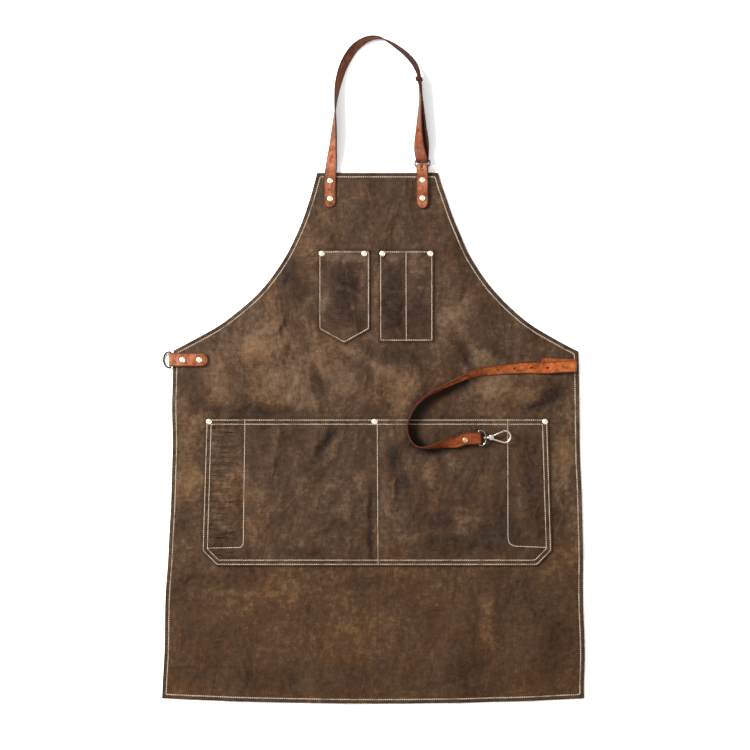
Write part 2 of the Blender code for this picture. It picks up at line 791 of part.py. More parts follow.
def neck_point(turn):
    x = CHEST_LEFT + turn.along * CHEST_WIDTH
    y = CHEST_Y + turn.up * NECK_RISE
    return Vector((x, y, rest_height(turn.roll, turn.bed, turn.lift), turn.roll))


def neck_stations():
    """The neck strap from its riveted end to the buckle, round the upper bar and back up to its tip."""
    place = buckle_place()
    turned = place.to_3x3()
    bar = place @ Vector((0, BUCKLE_BARS, 0))
    across, out, up = turned.col[0], turned.col[1], turned.col[2]
    below = BUCKLE_WIRE / 2 + GAP + STRAP_THICK / 2
    above = below + PRONG_WIRE + GAP
    radius = (above + below) / 2
    middle = bar + up * (above - below) / 2
    into = Vector((*(bar - up * below), 180 - BUCKLE_TILT))
    away = Vector((*(bar + up * above), BUCKLE_TILT))
    down = rolled(smooth([neck_point(turn) for turn in NECK_ROUTE] + [into], 2))[:-1]
    back = rolled(smooth([away] + [neck_point(turn) for turn in FREE_ROUTE], 2))[1:]
    fold = half_turn(middle, radius, -up, -out, across, HALF_STRAP)
    start = round_end(down[0].centre, down[0].across, Vector((0, -1, 0)), HALF_STRAP)[:0:-1]
    tip_way = (back[-1].centre - back[-2].centre).normalized()
    tip = round_end(back[-1].centre, back[-1].across, tip_way, HALF_STRAP)[1:]
    return start, down, fold, back, tip


def make_neck_strap(rivet_holes):
    start, down, fold, back, tip = neck_stations()
    bm = bmesh.new()
    strip(bm, start + down + fold + back + tip, STRAP_THICK)
    strap = piece("neck_strap", bm, "leather")
    change(strap, rivet_holes, "DIFFERENCE")
    place = buckle_place()
    holes = bmesh.new()
    inside = place @ Vector((0, BUCKLE_BARS - BUCKLE_WIRE / 4, prong_height()))
    outside = place @ Vector((0, BUCKLE_BARS / 3, prong_height()))
    cylinder(holes, inside, outside, PRONG_WIRE / 2 + GAP)
    punch(holes, back + tip, length_of(back + tip) - FREE_HOLE_BACK)
    change(strap, helper("neck_strap_holes", holes), "DIFFERENCE")
    return strap


def make_keeper():
    """A narrow leather loop round the strap and its free end."""
    start, down, fold, back, tip = neck_stations()
    free = back[-1]
    free_heading = (back[-1].centre - back[-2].centre).normalized()
    spot = free.centre + free_heading * KEEPER_BACK
    near = min(range(len(down)), key=lambda i: (down[i].centre - spot).length)
    heading = (down[near + 1].centre - down[near - 1].centre).normalized()
    across = down[near].across
    face = across.cross(heading).normalized()
    main = down[near].centre + heading * (spot - down[near].centre).dot(heading)
    apart = (spot - main).dot(face)
    middle = main + face * apart / 2
    half_across = HALF_STRAP + KEEPER_ROOM + KEEPER_THICK / 2
    half_face = abs(apart) / 2 + STRAP_THICK / 2 + KEEPER_ROOM + KEEPER_THICK / 2
    corner = KEEPER_THICK
    stations = []
    for a, b in ((1, 1), (-1, 1), (-1, -1), (1, -1)):
        hub = middle + across * a * (half_across - corner) + face * b * (half_face - corner)
        first, second = (face * b, across * a) if a * b < 0 else (across * a, face * b)
        for degrees in (0, 45, 90):
            angle = math.radians(degrees)
            place = hub + corner * (first * math.cos(angle) + second * math.sin(angle))
            stations.append(Station(place, heading, KEEPER_WIDTH / 2))
    bm = bmesh.new()
    strip(bm, stations, KEEPER_THICK, closed=True)
    return piece("strap_keeper", bm, "leather")


def waist_point(turn):
    x = body_edge(1, WAIST_Y) - turn.along * WAIST_REACH
    y = WAIST_Y - WAIST_STRAP_DROP - turn.up * WAIST_FALL
    return Vector((x, y, rest_height(turn.roll, turn.bed, turn.lift), turn.roll))


def hook_flat():
    """Frame of the hook's eye bar before the hook is lifted: local X runs along the hook."""
    x = body_edge(1, WAIST_Y) - EYE_ALONG * WAIST_REACH
    y = WAIST_Y - WAIST_STRAP_DROP - EYE_DOWN * WAIST_FALL
    return Matrix.Translation((x, y, EYE_BAR_HEIGHT)) @ Matrix.Rotation(math.radians(HOOK_HEADING), 4, "Z")


def hook_place():
    """The hook's own frame, lifted so that its bow can swivel clear of the pocket."""
    needed = POCKET_TOP + HOOK_SWING_ROOM + BOW_RADIUS + HOOK_WIRE / 2 - EYE_BAR_HEIGHT
    lift = math.asin(needed / BOW_REACH)
    return hook_flat() @ Matrix.Rotation(-lift, 4, "Y")


def waist_stations():
    """The waist strap from its riveted lower layer, round its loop and round the hook's eye."""
    layer = CANVAS_TOP + GAP + STRAP_THICK / 2
    first = waist_point(WAIST_ROUTE[0])
    radius = (first.z - layer) / 2
    edge = body_edge(1, first.y) - WAIST_EDGE_INSET - radius - STRAP_THICK / 2
    across = Vector((0, 1, 0))
    low = Vector((edge, first.y, layer))
    east = Vector((1, 0, 0))
    tip = round_end(low - east * WAIST_LOWER_LENGTH, across, -east, HALF_STRAP)[::-1]
    up = Vector((0, 0, 1))
    fold = half_turn(low + up * radius, radius, -up, east, across, HALF_STRAP)
    flat = hook_flat()
    turned = flat.to_3x3()
    ahead, aside = turned.col[0].copy(), turned.col[1].copy()
    wrap = EYE_WIRE / 2 + GAP + STRAP_THICK / 2
    rows = [Vector((edge, first.y, first.z, 0))] + [waist_point(turn) for turn in WAIST_ROUTE]
    for share in (1.0, 0.5, 0.0):
        rows.append(Vector((*(flat.translation + up * wrap - ahead * share * WAIST_EYE_RUN), 180)))
    run = rolled(smooth(rows, 2))[1:-1]
    turn = half_turn(flat.translation, wrap, up, ahead, aside, HALF_STRAP)
    skew = Matrix.Rotation(-math.radians(RETURN_SKEW), 3, "Z")
    homeward, side = skew @ -ahead, skew @ aside
    last = flat.translation + up * (wrap - STRAP_THICK - GAP) + homeward * RETURN_LENGTH
    pressed = last - homeward * RETURN_FLAT
    eased = (flat.translation - up * wrap).lerp(pressed, RETURN_RISE_START) - up * RETURN_SAG
    home = [Station(eased, side, HALF_STRAP), Station(pressed, side, HALF_STRAP)]
    return tip + fold, run, turn, home + round_end(last, side, homeward, HALF_STRAP)


def make_waist_strap(rivet_holes):
    lower, run, turn, end = waist_stations()
    bm = bmesh.new()
    strip(bm, lower + run + turn + end, STRAP_THICK)
    strap = piece("waist_strap", bm, "leather")
    change(strap, rivet_holes, "DIFFERENCE")
    holes = bmesh.new()
    for i in range(WAIST_HOLES):
        punch(holes, run, FIRST_HOLE + i * HOLE_PITCH)
    change(strap, helper("waist_strap_holes", holes), "DIFFERENCE")
    return strap


def make_tab(name, stations, rivet_holes):
    bm = bmesh.new()
    strip(bm, stations, TAB_THICK)
    tab = piece(name, bm, "leather")
    change(tab, rivet_holes, "DIFFERENCE")
    return tab


# Rivets

def all_rivets():
    """Every rivet with the lowest and highest faces of the layers that it holds."""
    strap_top = CANVAS_TOP + GAP + STRAP_THICK
    tab_top = CANVAS_TOP + 2 * (GAP + TAB_THICK)
    neck_x = CHEST_LEFT + NECK_ROUTE[0].along * CHEST_WIDTH
    buckle = buckle_place().translation
    ring = ring_place().translation
    pocket_y = CHEST_Y - CHEST_POCKET_DROP - POCKET_RIVET_INSET
    lower_y = WAIST_Y - LOWER_DROP - POCKET_RIVET_INSET
    pointed = CHEST_SHIFT + POINTED_OFFSET
    divided = CHEST_SHIFT + DIVIDED_OFFSET
    lower, run, turn, end = waist_stations()
    strap_fold = lower[-1].centre
    eye = hook_flat()
    eye_top = EYE_BAR_HEIGHT + EYE_WIRE / 2 + GAP + STRAP_THICK
    hook_end = eye @ Vector((-HOOK_END_RIVET[0], -HOOK_END_RIVET[1], 0))
    rivets = [Rivet("hook_end_rivet", hook_end.x, hook_end.y, eye_top - 2 * STRAP_THICK - GAP, eye_top)]
    for i in range(2):
        rivets += [
            Rivet(f"neck_strap_rivet_{i + 1}", neck_x, CHEST_Y - NECK_STRAP_RIVETS[i], HEM_FOLD, strap_top),
            Rivet(f"buckle_tab_rivet_{i + 1}", buckle.x, CHEST_Y - BUCKLE_TAB_RIVETS[i], HEM_FOLD, tab_top),
            Rivet(f"ring_tab_rivet_{i + 1}", ring.x + RING_TAB_RIVETS[i], ring.y, HEM_FOLD, tab_top),
            Rivet(
                f"waist_strap_rivet_{i + 1}", strap_fold.x - WAIST_STRAP_RIVETS[i], strap_fold.y,
                HEM_FOLD, strap_top,
            ),
        ]
    inset = POCKET_RIVET_INSET
    corners = (
        ("pointed_pocket_rivet_1", pointed - POINTED_WIDTH / 2 + inset, pocket_y),
        ("pointed_pocket_rivet_2", pointed + POINTED_WIDTH / 2 - POINTED_RIVET_INSET, pocket_y),
        ("divided_pocket_rivet_1", divided - DIVIDED_WIDTH / 2 + inset, pocket_y),
        ("divided_pocket_rivet_2", divided + DIVIDED_WIDTH / 2 - inset, pocket_y),
        ("lower_pocket_rivet_1", LOWER_OFFSET - LOWER_TOP_WIDTH / 2 + inset, lower_y),
        ("lower_pocket_rivet_2", LOWER_OFFSET + LOWER_TOP_WIDTH * (LOWER_MIDDLE_RIVET - 0.5), lower_y),
        ("lower_pocket_rivet_3", LOWER_OFFSET + LOWER_TOP_WIDTH / 2 - inset, lower_y),
    )
    for name, x, y in corners:
        rivets.append(Rivet(name, x, y, HEM_FOLD, POCKET_TOP))
    return rivets


def make_rivet_holes(rivets):
    bm = bmesh.new()
    reach = GAP / 2
    for rivet in rivets:
        foot = (rivet.x, rivet.y, rivet.low - reach)
        cylinder(bm, foot, (rivet.x, rivet.y, rivet.high + reach), SHANK_RADIUS + GAP)
    return helper("rivet_holes", bm)


def make_rivet(rivet, finish):
    """A domed cap, a shank through the layers and a flat back cap, turned about the rivet's axis."""
    seat = rivet.high + GAP
    under = rivet.low - GAP
    profile = (
        (0.0, seat + CAP_HEIGHT),
        (CAP_RADIUS * CAP_SHOULDER[0], seat + CAP_HEIGHT * CAP_SHOULDER[1]),
        (CAP_RADIUS, seat),
        (SHANK_RADIUS, seat),
        (SHANK_RADIUS, under),
        (BACK_RADIUS, under),
        (BACK_RADIUS, under - BACK_THICK),
        (0.0, under - BACK_THICK),
    )
    mesh = bpy.data.meshes.new(rivet.name)
    mesh.from_pydata([(x, 0.0, z) for x, z in profile], [(i, i + 1) for i in range(len(profile) - 1)], [])
    mesh.materials.append(material(finish))
    obj = bpy.data.objects.new(rivet.name, mesh)
    obj.location = (rivet.x, rivet.y, 0.0)
    bpy.data.collections["apron"].objects.link(obj)
    turn = obj.modifiers.new("turned", "SCREW")
    turn.axis = "Z"
    turn.steps = ROUND_SIDES
    turn.render_steps = ROUND_SIDES
    turn.use_merge_vertices = True
    turn.merge_threshold = 0.00001
    turn.use_smooth_shade = True
    return obj


# Neck buckle

def prong_height():
    """Height of the prong's middle line above the buckle's bars."""
    return BUCKLE_WIRE / 2 + GAP + PRONG_WIRE / 2


def make_buckle():
    half, corner = BUCKLE_SPAN / 2, BUCKLE_CORNER
    points = []
    for x, y, start in ((half, 0, -90), (half, BUCKLE_BARS, 0), (-half, BUCKLE_BARS, 90), (-half, 0, 180)):
        hub = (x - math.copysign(corner, x), y + (corner if y == 0 else -corner))
        points += arc(hub, corner, start, start + 90, 3)
    return piece("neck_buckle", wire(points, BUCKLE_WIRE / 2, True), "steel", buckle_place(), True)


def make_prong():
    """The tongue: a band round the lower bar and a finger that ends over the upper bar."""
    bm = bmesh.new()
    turn = BUCKLE_WIRE / 2 + GAP + PRONG_WIRE / 2
    half = PRONG_WIRE / 2
    stations = []
    for i in range(PRONG_RING_SIDES):
        angle = 2 * math.pi * i / PRONG_RING_SIDES
        centre = Vector((0, turn * math.sin(angle), turn * math.cos(angle)))
        stations.append(Station(centre, Vector((1, 0, 0)), half))
    strip(bm, stations, PRONG_WIRE, closed=True)
    prong = piece("neck_buckle_prong", bm, "steel", buckle_place())
    finger = bmesh.new()
    height = prong_height()
    slim = half * PRONG_FLAT
    end = BUCKLE_BARS + PRONG_PAST_BAR
    box(finger, (-slim, 0.0, height - slim), (slim, end, height + slim))
    change(prong, helper("prong_finger", finger, buckle_place()), "UNION")
    return prong


def tab_slot():
    """The slot in the tab's fold that lets the prong turn on the bar."""
    bm = bmesh.new()
    half = PRONG_WIRE / 2 + GAP
    reach = BUCKLE_WIRE / 2 + 2 * GAP + PRONG_WIRE
    box(bm, (-half, -reach, -3 * reach), (half, 2 * reach, 3 * reach))
    return helper("buckle_tab_slot", bm, buckle_place())


# D ring

def ring_droop():
    """Angle that lets the ring's bow down to the table."""
    fall = ring_place().translation.z - RING_WIRE / 2 - GAP
    return math.asin(fall / RING_DEPTH)


def make_ring():
    half = RING_TAB_WIDTH / 2 + 2 * GAP + RING_WIRE / 2
    straight = half - RING_CORNER
    points = [Vector((-straight, 0, 0)), Vector((straight, 0, 0)), Vector((half, RING_CORNER, 0))]
    bow = RING_DEPTH - RING_SHOULDER
    for i in range(13):
        angle = math.pi * i / 12
        points.append(Vector((half * math.cos(angle), RING_SHOULDER + bow * math.sin(angle), 0)))
    points.append(Vector((-half, RING_CORNER, 0)))
    place = ring_place() @ Matrix.Rotation(-ring_droop(), 4, "X")
    return piece("d_ring", wire(points, RING_WIRE / 2, True), "dark_steel", place, True)


# Snap hook

def make_hook_eye():
    """The eye's wire, from the bar in the strap's fold to the collar that the stem turns in."""
    half, depth = EYE_SPAN / 2, EYE_DEPTH
    points = arc((EYE_CORNER, EYE_CORNER - half), EYE_CORNER, 180, 270, 3)
    for i in range(1, 6):
        angle = math.pi / 2 * i / 6
        reach = EYE_STRAIGHT + (depth - EYE_STRAIGHT) * math.sin(angle)
        points.append(Vector((reach, -half * math.cos(angle), 0)))
    points += [Vector((p.x, -p.y, 0)) for p in reversed(points)]
    eye = piece("hook_eye", wire(points, EYE_WIRE / 2, True), "steel", hook_place(), True)
    collar = bmesh.new()
    start, end = depth - COLLAR_LENGTH / 2, depth + COLLAR_LENGTH / 2
    cylinder(collar, (start, 0, 0), (end, 0, 0), COLLAR_RADIUS)
    change(eye, helper("eye_collar", collar, hook_place()), "UNION")
    bore = bmesh.new()
    cylinder(bore, (start - GAP, 0, 0), (end + GAP, 0, 0), STEM_RADIUS + GAP)
    change(eye, helper("eye_bore", bore, hook_place()), "DIFFERENCE")
    return eye


def gate_angle():
    """Angle from the gate's pin to the nose."""
    nose = nose_point()
    return math.atan2(nose.y - GATE_PIVOT[1], nose.x - GATE_PIVOT[0])


def nose_point():
    angle = math.radians(NOSE_ANGLE)
    return Vector((BOW_REACH + BOW_RADIUS * math.cos(angle), BOW_RADIUS * math.sin(angle), 0))


def make_hook_body():
    """The stem, the knob that holds the gate, and the wire that runs round the bow to the nose."""
    root = Vector((ROOT_ALONG, ROOT_ASIDE, 0))
    towards = math.degrees(math.atan2(root.y, root.x - BOW_REACH))
    span = math.hypot(root.x - BOW_REACH, root.y)
    tangent = towards + math.degrees(math.acos(BOW_RADIUS / span))
    points = [root] + arc((BOW_REACH, 0), BOW_RADIUS, tangent, NOSE_ANGLE, 12)
    place = hook_place()
    hook = piece("hook_body", wire(points, HOOK_WIRE / 2, False), "steel", place, True)
    knob = bmesh.new()
    half, thick = KNOB_WIDTH / 2, KNOB_THICK / 2
    box(knob, (KNOB_START, -half, -thick), (KNOB_START + KNOB_LENGTH, half, thick))
    bmesh.ops.bevel(
        knob, geom=knob.edges[:], offset=KNOB_BEVEL, offset_type="OFFSET", segments=1, profile=0.5,
        affect="EDGES", clamp_overlap=True, material=-1,
    )
    change(hook, helper("hook_knob", knob, place), "UNION")
    inner = EYE_DEPTH - COLLAR_LENGTH / 2 - GAP
    outer = EYE_DEPTH + COLLAR_LENGTH / 2 + GAP
    stem = bmesh.new()
    into_knob = KNOB_START + KNOB_OVERLAP
    cylinder(stem, (inner - STEM_HEAD_LENGTH / 2, 0, 0), (into_knob, 0, 0), STEM_RADIUS)
    change(hook, helper("hook_stem", stem, place), "UNION")
    head = bmesh.new()
    cylinder(head, (inner - STEM_HEAD_LENGTH, 0, 0), (inner, 0, 0), STEM_HEAD_RADIUS)
    change(hook, helper("hook_stem_head", head, place), "UNION")
    throat = bmesh.new()
    cylinder(throat, (outer, 0, 0), (into_knob, 0, 0), NECK_RADIUS)
    change(hook, helper("hook_throat", throat, place), "UNION")
    slot = bmesh.new()
    room = GATE_ROOT_RADIUS + GATE_ROOM
    x, y = GATE_PIVOT
    cheek = GATE_THICK / 2 + GAP
    box(slot, (x - room, y - room, -cheek), (x + KNOB_LENGTH, half + GAP, cheek))
    change(hook, helper("gate_slot", slot, place), "DIFFERENCE")
    pin = bmesh.new()
    cheek_middle = (thick + cheek) / 2
    cylinder(pin, (x, y, -cheek_middle), (x, y, cheek_middle), GATE_PIN_RADIUS)
    change(hook, helper("gate_pin", pin, place), "UNION")
    return hook


def make_hook_gate():
    """The sprung gate: a ring round its pin and an arm that closes on the nose."""
    place = hook_place() @ Matrix.Translation((*GATE_PIVOT, 0)) @ Matrix.Rotation(gate_angle(), 4, "Z")
    reach = (nose_point() - Vector((*GATE_PIVOT, 0))).length - NOSE_GAP
    half = GATE_THICK / 2
    arm = bmesh.new()
    box(arm, (0.0, -half, -half), (reach, half, half))
    gate = piece("hook_gate", arm, "steel", place)
    root = bmesh.new()
    cylinder(root, (0, 0, -half), (0, 0, half), GATE_ROOT_RADIUS)
    change(gate, helper("gate_root", root, place), "UNION")
    eye = bmesh.new()
    cylinder(eye, (0, 0, -half - GAP), (0, 0, half + GAP), GATE_PIN_RADIUS + GAP)
    change(gate, helper("gate_eye", eye, place), "DIFFERENCE")
    return gate


# The whole apron

def main():
    clear_scene()
    collection("apron")
    cutters = collection("cutters")
    cutters.hide_render = True
    rivets = all_rivets()
    holes = make_rivet_holes(rivets)
    body = make_body()
    change(body, holes, "DIFFERENCE")
    pockets = (
        ("chest_pocket_pointed", pointed_pocket()),
        ("chest_pocket_divided", divided_pocket()),
        ("lower_pocket", lower_pocket()),
    )
    for name, (outline, pocket) in pockets:
        change(make_pocket(name, outline, pocket), holes, "DIFFERENCE")
    make_neck_strap(holes)
    make_waist_strap(holes)
    make_keeper()
    buckle_tab = folded_tab(
        buckle_place(), BUCKLE_TAB_LENGTH, BUCKLE_TAB_WIDTH, BUCKLE_TAB_SLOPE, BUCKLE_WIRE,
    )
    change(make_tab("neck_buckle_tab", buckle_tab, holes), tab_slot(), "DIFFERENCE")
    ring_tab = folded_tab(ring_place(), RING_TAB_LENGTH, RING_TAB_WIDTH, RING_TAB_SLOPE, RING_WIRE)
    make_tab("d_ring_tab", ring_tab, holes)
    for rivet in rivets:
        make_rivet(rivet, "brass" if rivet.name == "hook_end_rivet" else "rivet_cap")
    make_buckle()
    make_prong()
    make_ring()
    eye = make_hook_eye()
    hook = make_hook_body()
    gate = make_hook_gate()
    bpy.context.view_layer.update()
    ride_on(hook, eye)
    ride_on(gate, hook)


main()
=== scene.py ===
import math
from bisect import bisect_right
from collections import namedtuple

import bmesh
import bpy
from mathutils import Matrix, Vector, kdtree, noise


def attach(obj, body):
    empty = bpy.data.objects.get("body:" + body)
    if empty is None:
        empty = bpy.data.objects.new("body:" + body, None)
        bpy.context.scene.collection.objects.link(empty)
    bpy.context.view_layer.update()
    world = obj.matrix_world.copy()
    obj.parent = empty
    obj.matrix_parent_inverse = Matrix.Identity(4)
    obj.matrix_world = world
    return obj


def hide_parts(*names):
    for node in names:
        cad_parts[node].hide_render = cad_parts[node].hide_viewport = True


bl_info = {
    "name": "Waxed Canvas Apron",
    "version": (1, 0, 0),
    "blender": (4, 5, 0),
    "location": "View3D > Sidebar > Apron",
    "description": "Sews the cloth, leather and metal of a laid-out work apron over its packed solids",
    "category": "Object",
}

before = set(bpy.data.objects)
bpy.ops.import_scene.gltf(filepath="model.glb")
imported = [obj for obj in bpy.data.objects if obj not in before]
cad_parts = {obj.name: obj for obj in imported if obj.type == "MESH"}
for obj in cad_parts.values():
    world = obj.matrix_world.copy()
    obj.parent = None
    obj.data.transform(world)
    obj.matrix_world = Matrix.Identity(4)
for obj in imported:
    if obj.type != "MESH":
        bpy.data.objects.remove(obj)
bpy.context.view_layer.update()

# Room left between pieces that touch, and how near two points are when they are joined
GAP = 0.0003
JOIN = 1e-6

# Canvas body, in metres, as its solid has it
BODY_LENGTH = 0.817
SKIRT_LENGTH = 0.540
HEM_WIDTH = 0.6515
HEM_SAG = 0.0077
WAIST_WIDTH = 0.6253
WAIST_SHIFT = 0.0039
CHEST_WIDTH = 0.1868
CHEST_SHIFT = 0.0070
CANVAS = 0.0012
HEM_TURN = 0.0080
HEM_FOLD = 0.0013
FOLD_HEIGHT = 0.0055
ARMHOLE_TOP_HANDLE = (0.14, 0.42)
ARMHOLE_WAIST_HANDLE = (0.38, 0.76)
ARMHOLE_STEPS = 52
HEM_STEPS = 40
SIDE_STEPS = 40
SEAM_INSET = 0.0063
BODY_INSETS = (0.0006, 0.0030, 0.0062, SEAM_INSET, HEM_TURN, 0.0084)
RIM_ROUNDING = 0.0006
# How far beyond a flat zone the cloth is still held down, and the width of the line that a seam pulls in
CALM_REACH = 0.024
SEAM_PULL = 0.0011
# Wear and painted light on the relief: the tone of a small wrinkle, and of a crease for its height; high
# spots are lighter from wear and painted highlight, hollows darker with painted shade
WRINKLE_WEAR_AND_LIGHT = 0.18
CREASE_WEAR_AND_LIGHT = 190
# Painted shadow in the canvas along the pockets' edges, shifted right and down, away from the window lamp
POCKET_SHADOW_WIDTH = 0.0020
POCKET_SHADOW_ASIDE = (0.0016, -0.0004)
POCKET_SHADOW_DEPTH = 0.5
# The patches: how far and how finely their edges are drawn in and out, and the most they add up to
PATCH_STRAY = 0.008
PATCH_GRAIN = 38
PATCH_LIMIT = 0.8
# Dark band of the hem: full up to its edge, then half as dark and fading inwards
HEM_EDGE = 0.0012
HEM_BAND = 0.0060
HEM_BAND_FADE = 0.0030

# Pockets
ROOM_RISE = 0.0052
# Share of that rise at which the cloth lies, and how wide the slope up from a seam is
LAID_SHARE = 0.42
ROOM_SLOPE = 0.034
ROOM_SLOPE_SHARE = 0.42
CHEST_POCKET_DROP = 0.1197
POINTED_WIDTH = 0.0800
POINTED_DEPTH = 0.1442
POINTED_TIP = 0.0222
POINTED_OFFSET = -0.0514
DIVIDED_WIDTH = 0.0840
DIVIDED_DEPTH = 0.1411
DIVIDED_OFFSET = 0.0444
LOWER_DROP = 0.1019
LOWER_TOP_WIDTH = 0.5285
LOWER_FOOT_WIDTH = 0.5410
LOWER_DEPTH = 0.2277
LOWER_OFFSET = 0.0060
LOWER_CHAMFER = 0.0230
POCKET_RIVET_INSET = 0.0050
LOWER_MIDDLE_RIVET = 0.4925
POINTED_RIVET_INSET = 0.0093
POCKET_GRID = 0.003
POCKET_SEAM = 0.0026
LOWER_SEAM = 0.0090
CHEST_INSETS = (0.0006, 0.0016, POCKET_SEAM, 0.0036, 0.0060)
LOWER_INSETS = (0.0006, 0.0016, POCKET_SEAM, 0.0036, 0.0080, LOWER_SEAM, 0.0100)
SEAM_SIDE = 0.0012
POCKET_CALM_REACH = 0.018

# Straps
NECK_RISE = 0.2100
STRAP_WIDTH = 0.0180
STRAP_THICK = 0.0022
WAIST_REACH = 0.2640
WAIST_FALL = 0.1266
WAIST_STRAP_DROP = 0.0200
WAIST_LOWER_LENGTH = 0.0435
WAIST_LOWER_ASIDE = 0.0026
WAIST_LOOP_START = 0.64
WAIST_EYE_RUN = 0.0225
WAIST_EDGE_INSET = 0.0025
RETURN_LENGTH = 0.0185
RETURN_FLAT = 0.0045
RETURN_RISE_START = 0.45
RETURN_SAG = 0.00031
RETURN_SKEW = 7.0
HOLE_RADIUS = 0.0018
HOLE_PITCH = 0.0255
WAIST_HOLES = 5
FIRST_HOLE = 0.0400
FREE_HOLE_BACK = 0.0850
ROUTE_STEPS = 6
FOLD_STEPS = 14
STRAP_ROWS = 12
# Painted shadow that the waist strap's loop casts on the canvas, to its right and below
LOOP_SHADOW_WIDTH = 0.0085
LOOP_SHADOW_DEPTH = 1.4
LOOP_SHADOW_ASIDE = (0.0068, -0.0022)
LOOP_SHADOW_RUN = (0.42, 0.93)
# Painted shade in a ring round each cap, standing in for the dent that the cap presses into the leather
CAP_SHADE_WIDTH = 0.0016
CAP_SHADE_OUT = 0.0004
# Dark band along a strap's edges, and the length over which a darker or paler stretch fades in
EDGE_RUB = 0.0026
EDGE_RUB_FADE = 0.0024
SHADE_FADE = 0.03

# Riveted tabs
TAB_THICK = 0.0020
BUCKLE_TAB_WIDTH = 0.0178
BUCKLE_TAB_LENGTH = 0.0645
BUCKLE_TAB_SLOPE = 0.0170
RING_TAB_WIDTH = 0.0205
RING_TAB_LENGTH = 0.0572
RING_TAB_SLOPE = 0.0110
RING_TAB_DROP = 0.0115
RING_OVERHANG = 0.0025
PRONG_SLOT = 0.0062
NECK_STRAP_RIVETS = (0.0124, 0.0401)
BUCKLE_TAB_RIVETS = (0.0114, 0.0394)
RING_TAB_RIVETS = (0.0175, 0.0436)
WAIST_STRAP_RIVETS = (0.0125, 0.0330)
HOOK_END_RIVET = (0.0215, 0.0015)

# Rivets
CAP_RADIUS = 0.0043
CAP_HEIGHT = 0.0016
SHANK_RADIUS = 0.0015
BACK_RADIUS = 0.0027
BACK_THICK = 0.0008

# Neck buckle
BUCKLE_WIRE = 0.0026
BUCKLE_SPAN = 0.0230
BUCKLE_BARS = 0.0095
BUCKLE_CORNER = 0.0030
BUCKLE_HEIGHT = 0.0083
BUCKLE_TILT = 12.0
BUCKLE_ABOVE_EDGE = 0.0095
BUCKLE_ALONG = 0.8696
PRONG_WIRE = 0.0020
PRONG_PAST_BAR = 0.0022
KEEPER_WIDTH = 0.0060
KEEPER_THICK = 0.0013
KEEPER_BACK = 0.0030
KEEPER_ROOM = 0.0010

# D ring
RING_WIRE = 0.0022
RING_DEPTH = 0.0125
RING_SHOULDER = 0.0040
RING_CORNER = 0.0012

# Snap hook, measured along its length from the eye's bar
EYE_WIRE = 0.0024
EYE_SPAN = 0.0231
EYE_DEPTH = 0.0105
EYE_CORNER = 0.0020
EYE_STRAIGHT = 0.0035
EYE_BAR_HEIGHT = 0.0094
COLLAR_RADIUS = 0.0032
COLLAR_LENGTH = 0.0036
STEM_RADIUS = 0.0013
STEM_HEAD_RADIUS = 0.0024
STEM_HEAD_LENGTH = 0.0012
NECK_RADIUS = 0.0022
KNOB_START = 0.0160
KNOB_LENGTH = 0.0068
KNOB_WIDTH = 0.0080
KNOB_THICK = 0.0060
KNOB_EDGE = 0.0008
KNOB_WEB_EDGE = 0.0006
KNOB_WALL_EDGE = 0.0004
ROOT_ALONG = 0.0208
ROOT_ASIDE = -0.0026
HOOK_WIRE = 0.0024
HOOK_PLATING = 0.0003
RING_PLATING = 0.0002
BOW_REACH = 0.0394
BOW_RADIUS = 0.0090
NOSE_ANGLE = 98.0
GATE_THICK = 0.0020
GATE_PIN_RADIUS = 0.0008
GATE_ROOT_RADIUS = 0.0019
GATE_EDGE = 0.0006
GATE_ROOM = 0.0004
GATE_PIVOT = (0.0202, 0.0016)
NOSE_GAP = 0.0006
HOOK_HEADING = 3.5
HOOK_SWING_ROOM = 0.0004
EYE_ALONG = 0.580
EYE_DOWN = 0.886

# Stage: the paper, the lamps that face the apron's middle, and the camera straight above, its lens in mm
PAPER_REACH = 4.0
PAPER_DROP = 0.0004
Lamp = namedtuple("Lamp", "name spot side power")
LAMPS = (
    Lamp("window", (-2.4, 1.15, 2.25), 1.0, 285.0),
    Lamp("reflector", (2.2, -1.2, 2.6), 2.4, 10.0),
)
CAMERA_SPOT = (0.0031, -0.0085, 3.217)
CAMERA_LENS = 100.0
CAMERA_SENSOR = 36.0
CAMERA_SIGHT = 20.0

# Heights and places that follow from those sizes
HEM_Y = -(BODY_LENGTH + NECK_RISE) / 2
CHEST_Y = HEM_Y + BODY_LENGTH
WAIST_Y = HEM_Y + SKIRT_LENGTH
CHEST_LEFT = CHEST_SHIFT - CHEST_WIDTH / 2
CHEST_POCKET_TOP = CHEST_Y - CHEST_POCKET_DROP
POINTED_X = CHEST_SHIFT + POINTED_OFFSET
DIVIDED_X = CHEST_SHIFT + DIVIDED_OFFSET
LOWER_TOP = WAIST_Y - LOWER_DROP
WAIST_STRAP_Y = WAIST_Y - WAIST_STRAP_DROP
CANVAS_TOP = HEM_FOLD + CANVAS
POCKET_TOP = CANVAS_TOP + GAP + CANVAS
BED_HEIGHTS = (0.0, CANVAS_TOP, POCKET_TOP)
HALF_STRAP = STRAP_WIDTH / 2

# Broad folds of the body: middle as shares of half the hem and of the length above it, sizes as shares of
# the body's length, height as a share of FOLD_HEIGHT, angle in degrees from the hem
Fold = namedtuple("Fold", "across up angle length width height")
FOLDS = [Fold(*row) for row in (
    (-0.46, 0.730, 58, 0.26, 0.120, 1.0),
    (0.52, 0.735, 124, 0.24, 0.120, 1.0),
    (0.02, 0.585, -20, 0.22, 0.100, 0.9),
    (-0.48, 0.590, 6, 0.30, 0.110, 1.0),
    (0.30, 0.620, 70, 0.16, 0.090, 0.6),
    (-0.66, 0.085, 100, 0.26, 0.130, 0.8),
    (-0.12, 0.070, 84, 0.24, 0.120, 0.7),
    (0.40, 0.085, 92, 0.27, 0.110, 1.0),
    (0.76, 0.070, 74, 0.24, 0.120, 0.8),
)]

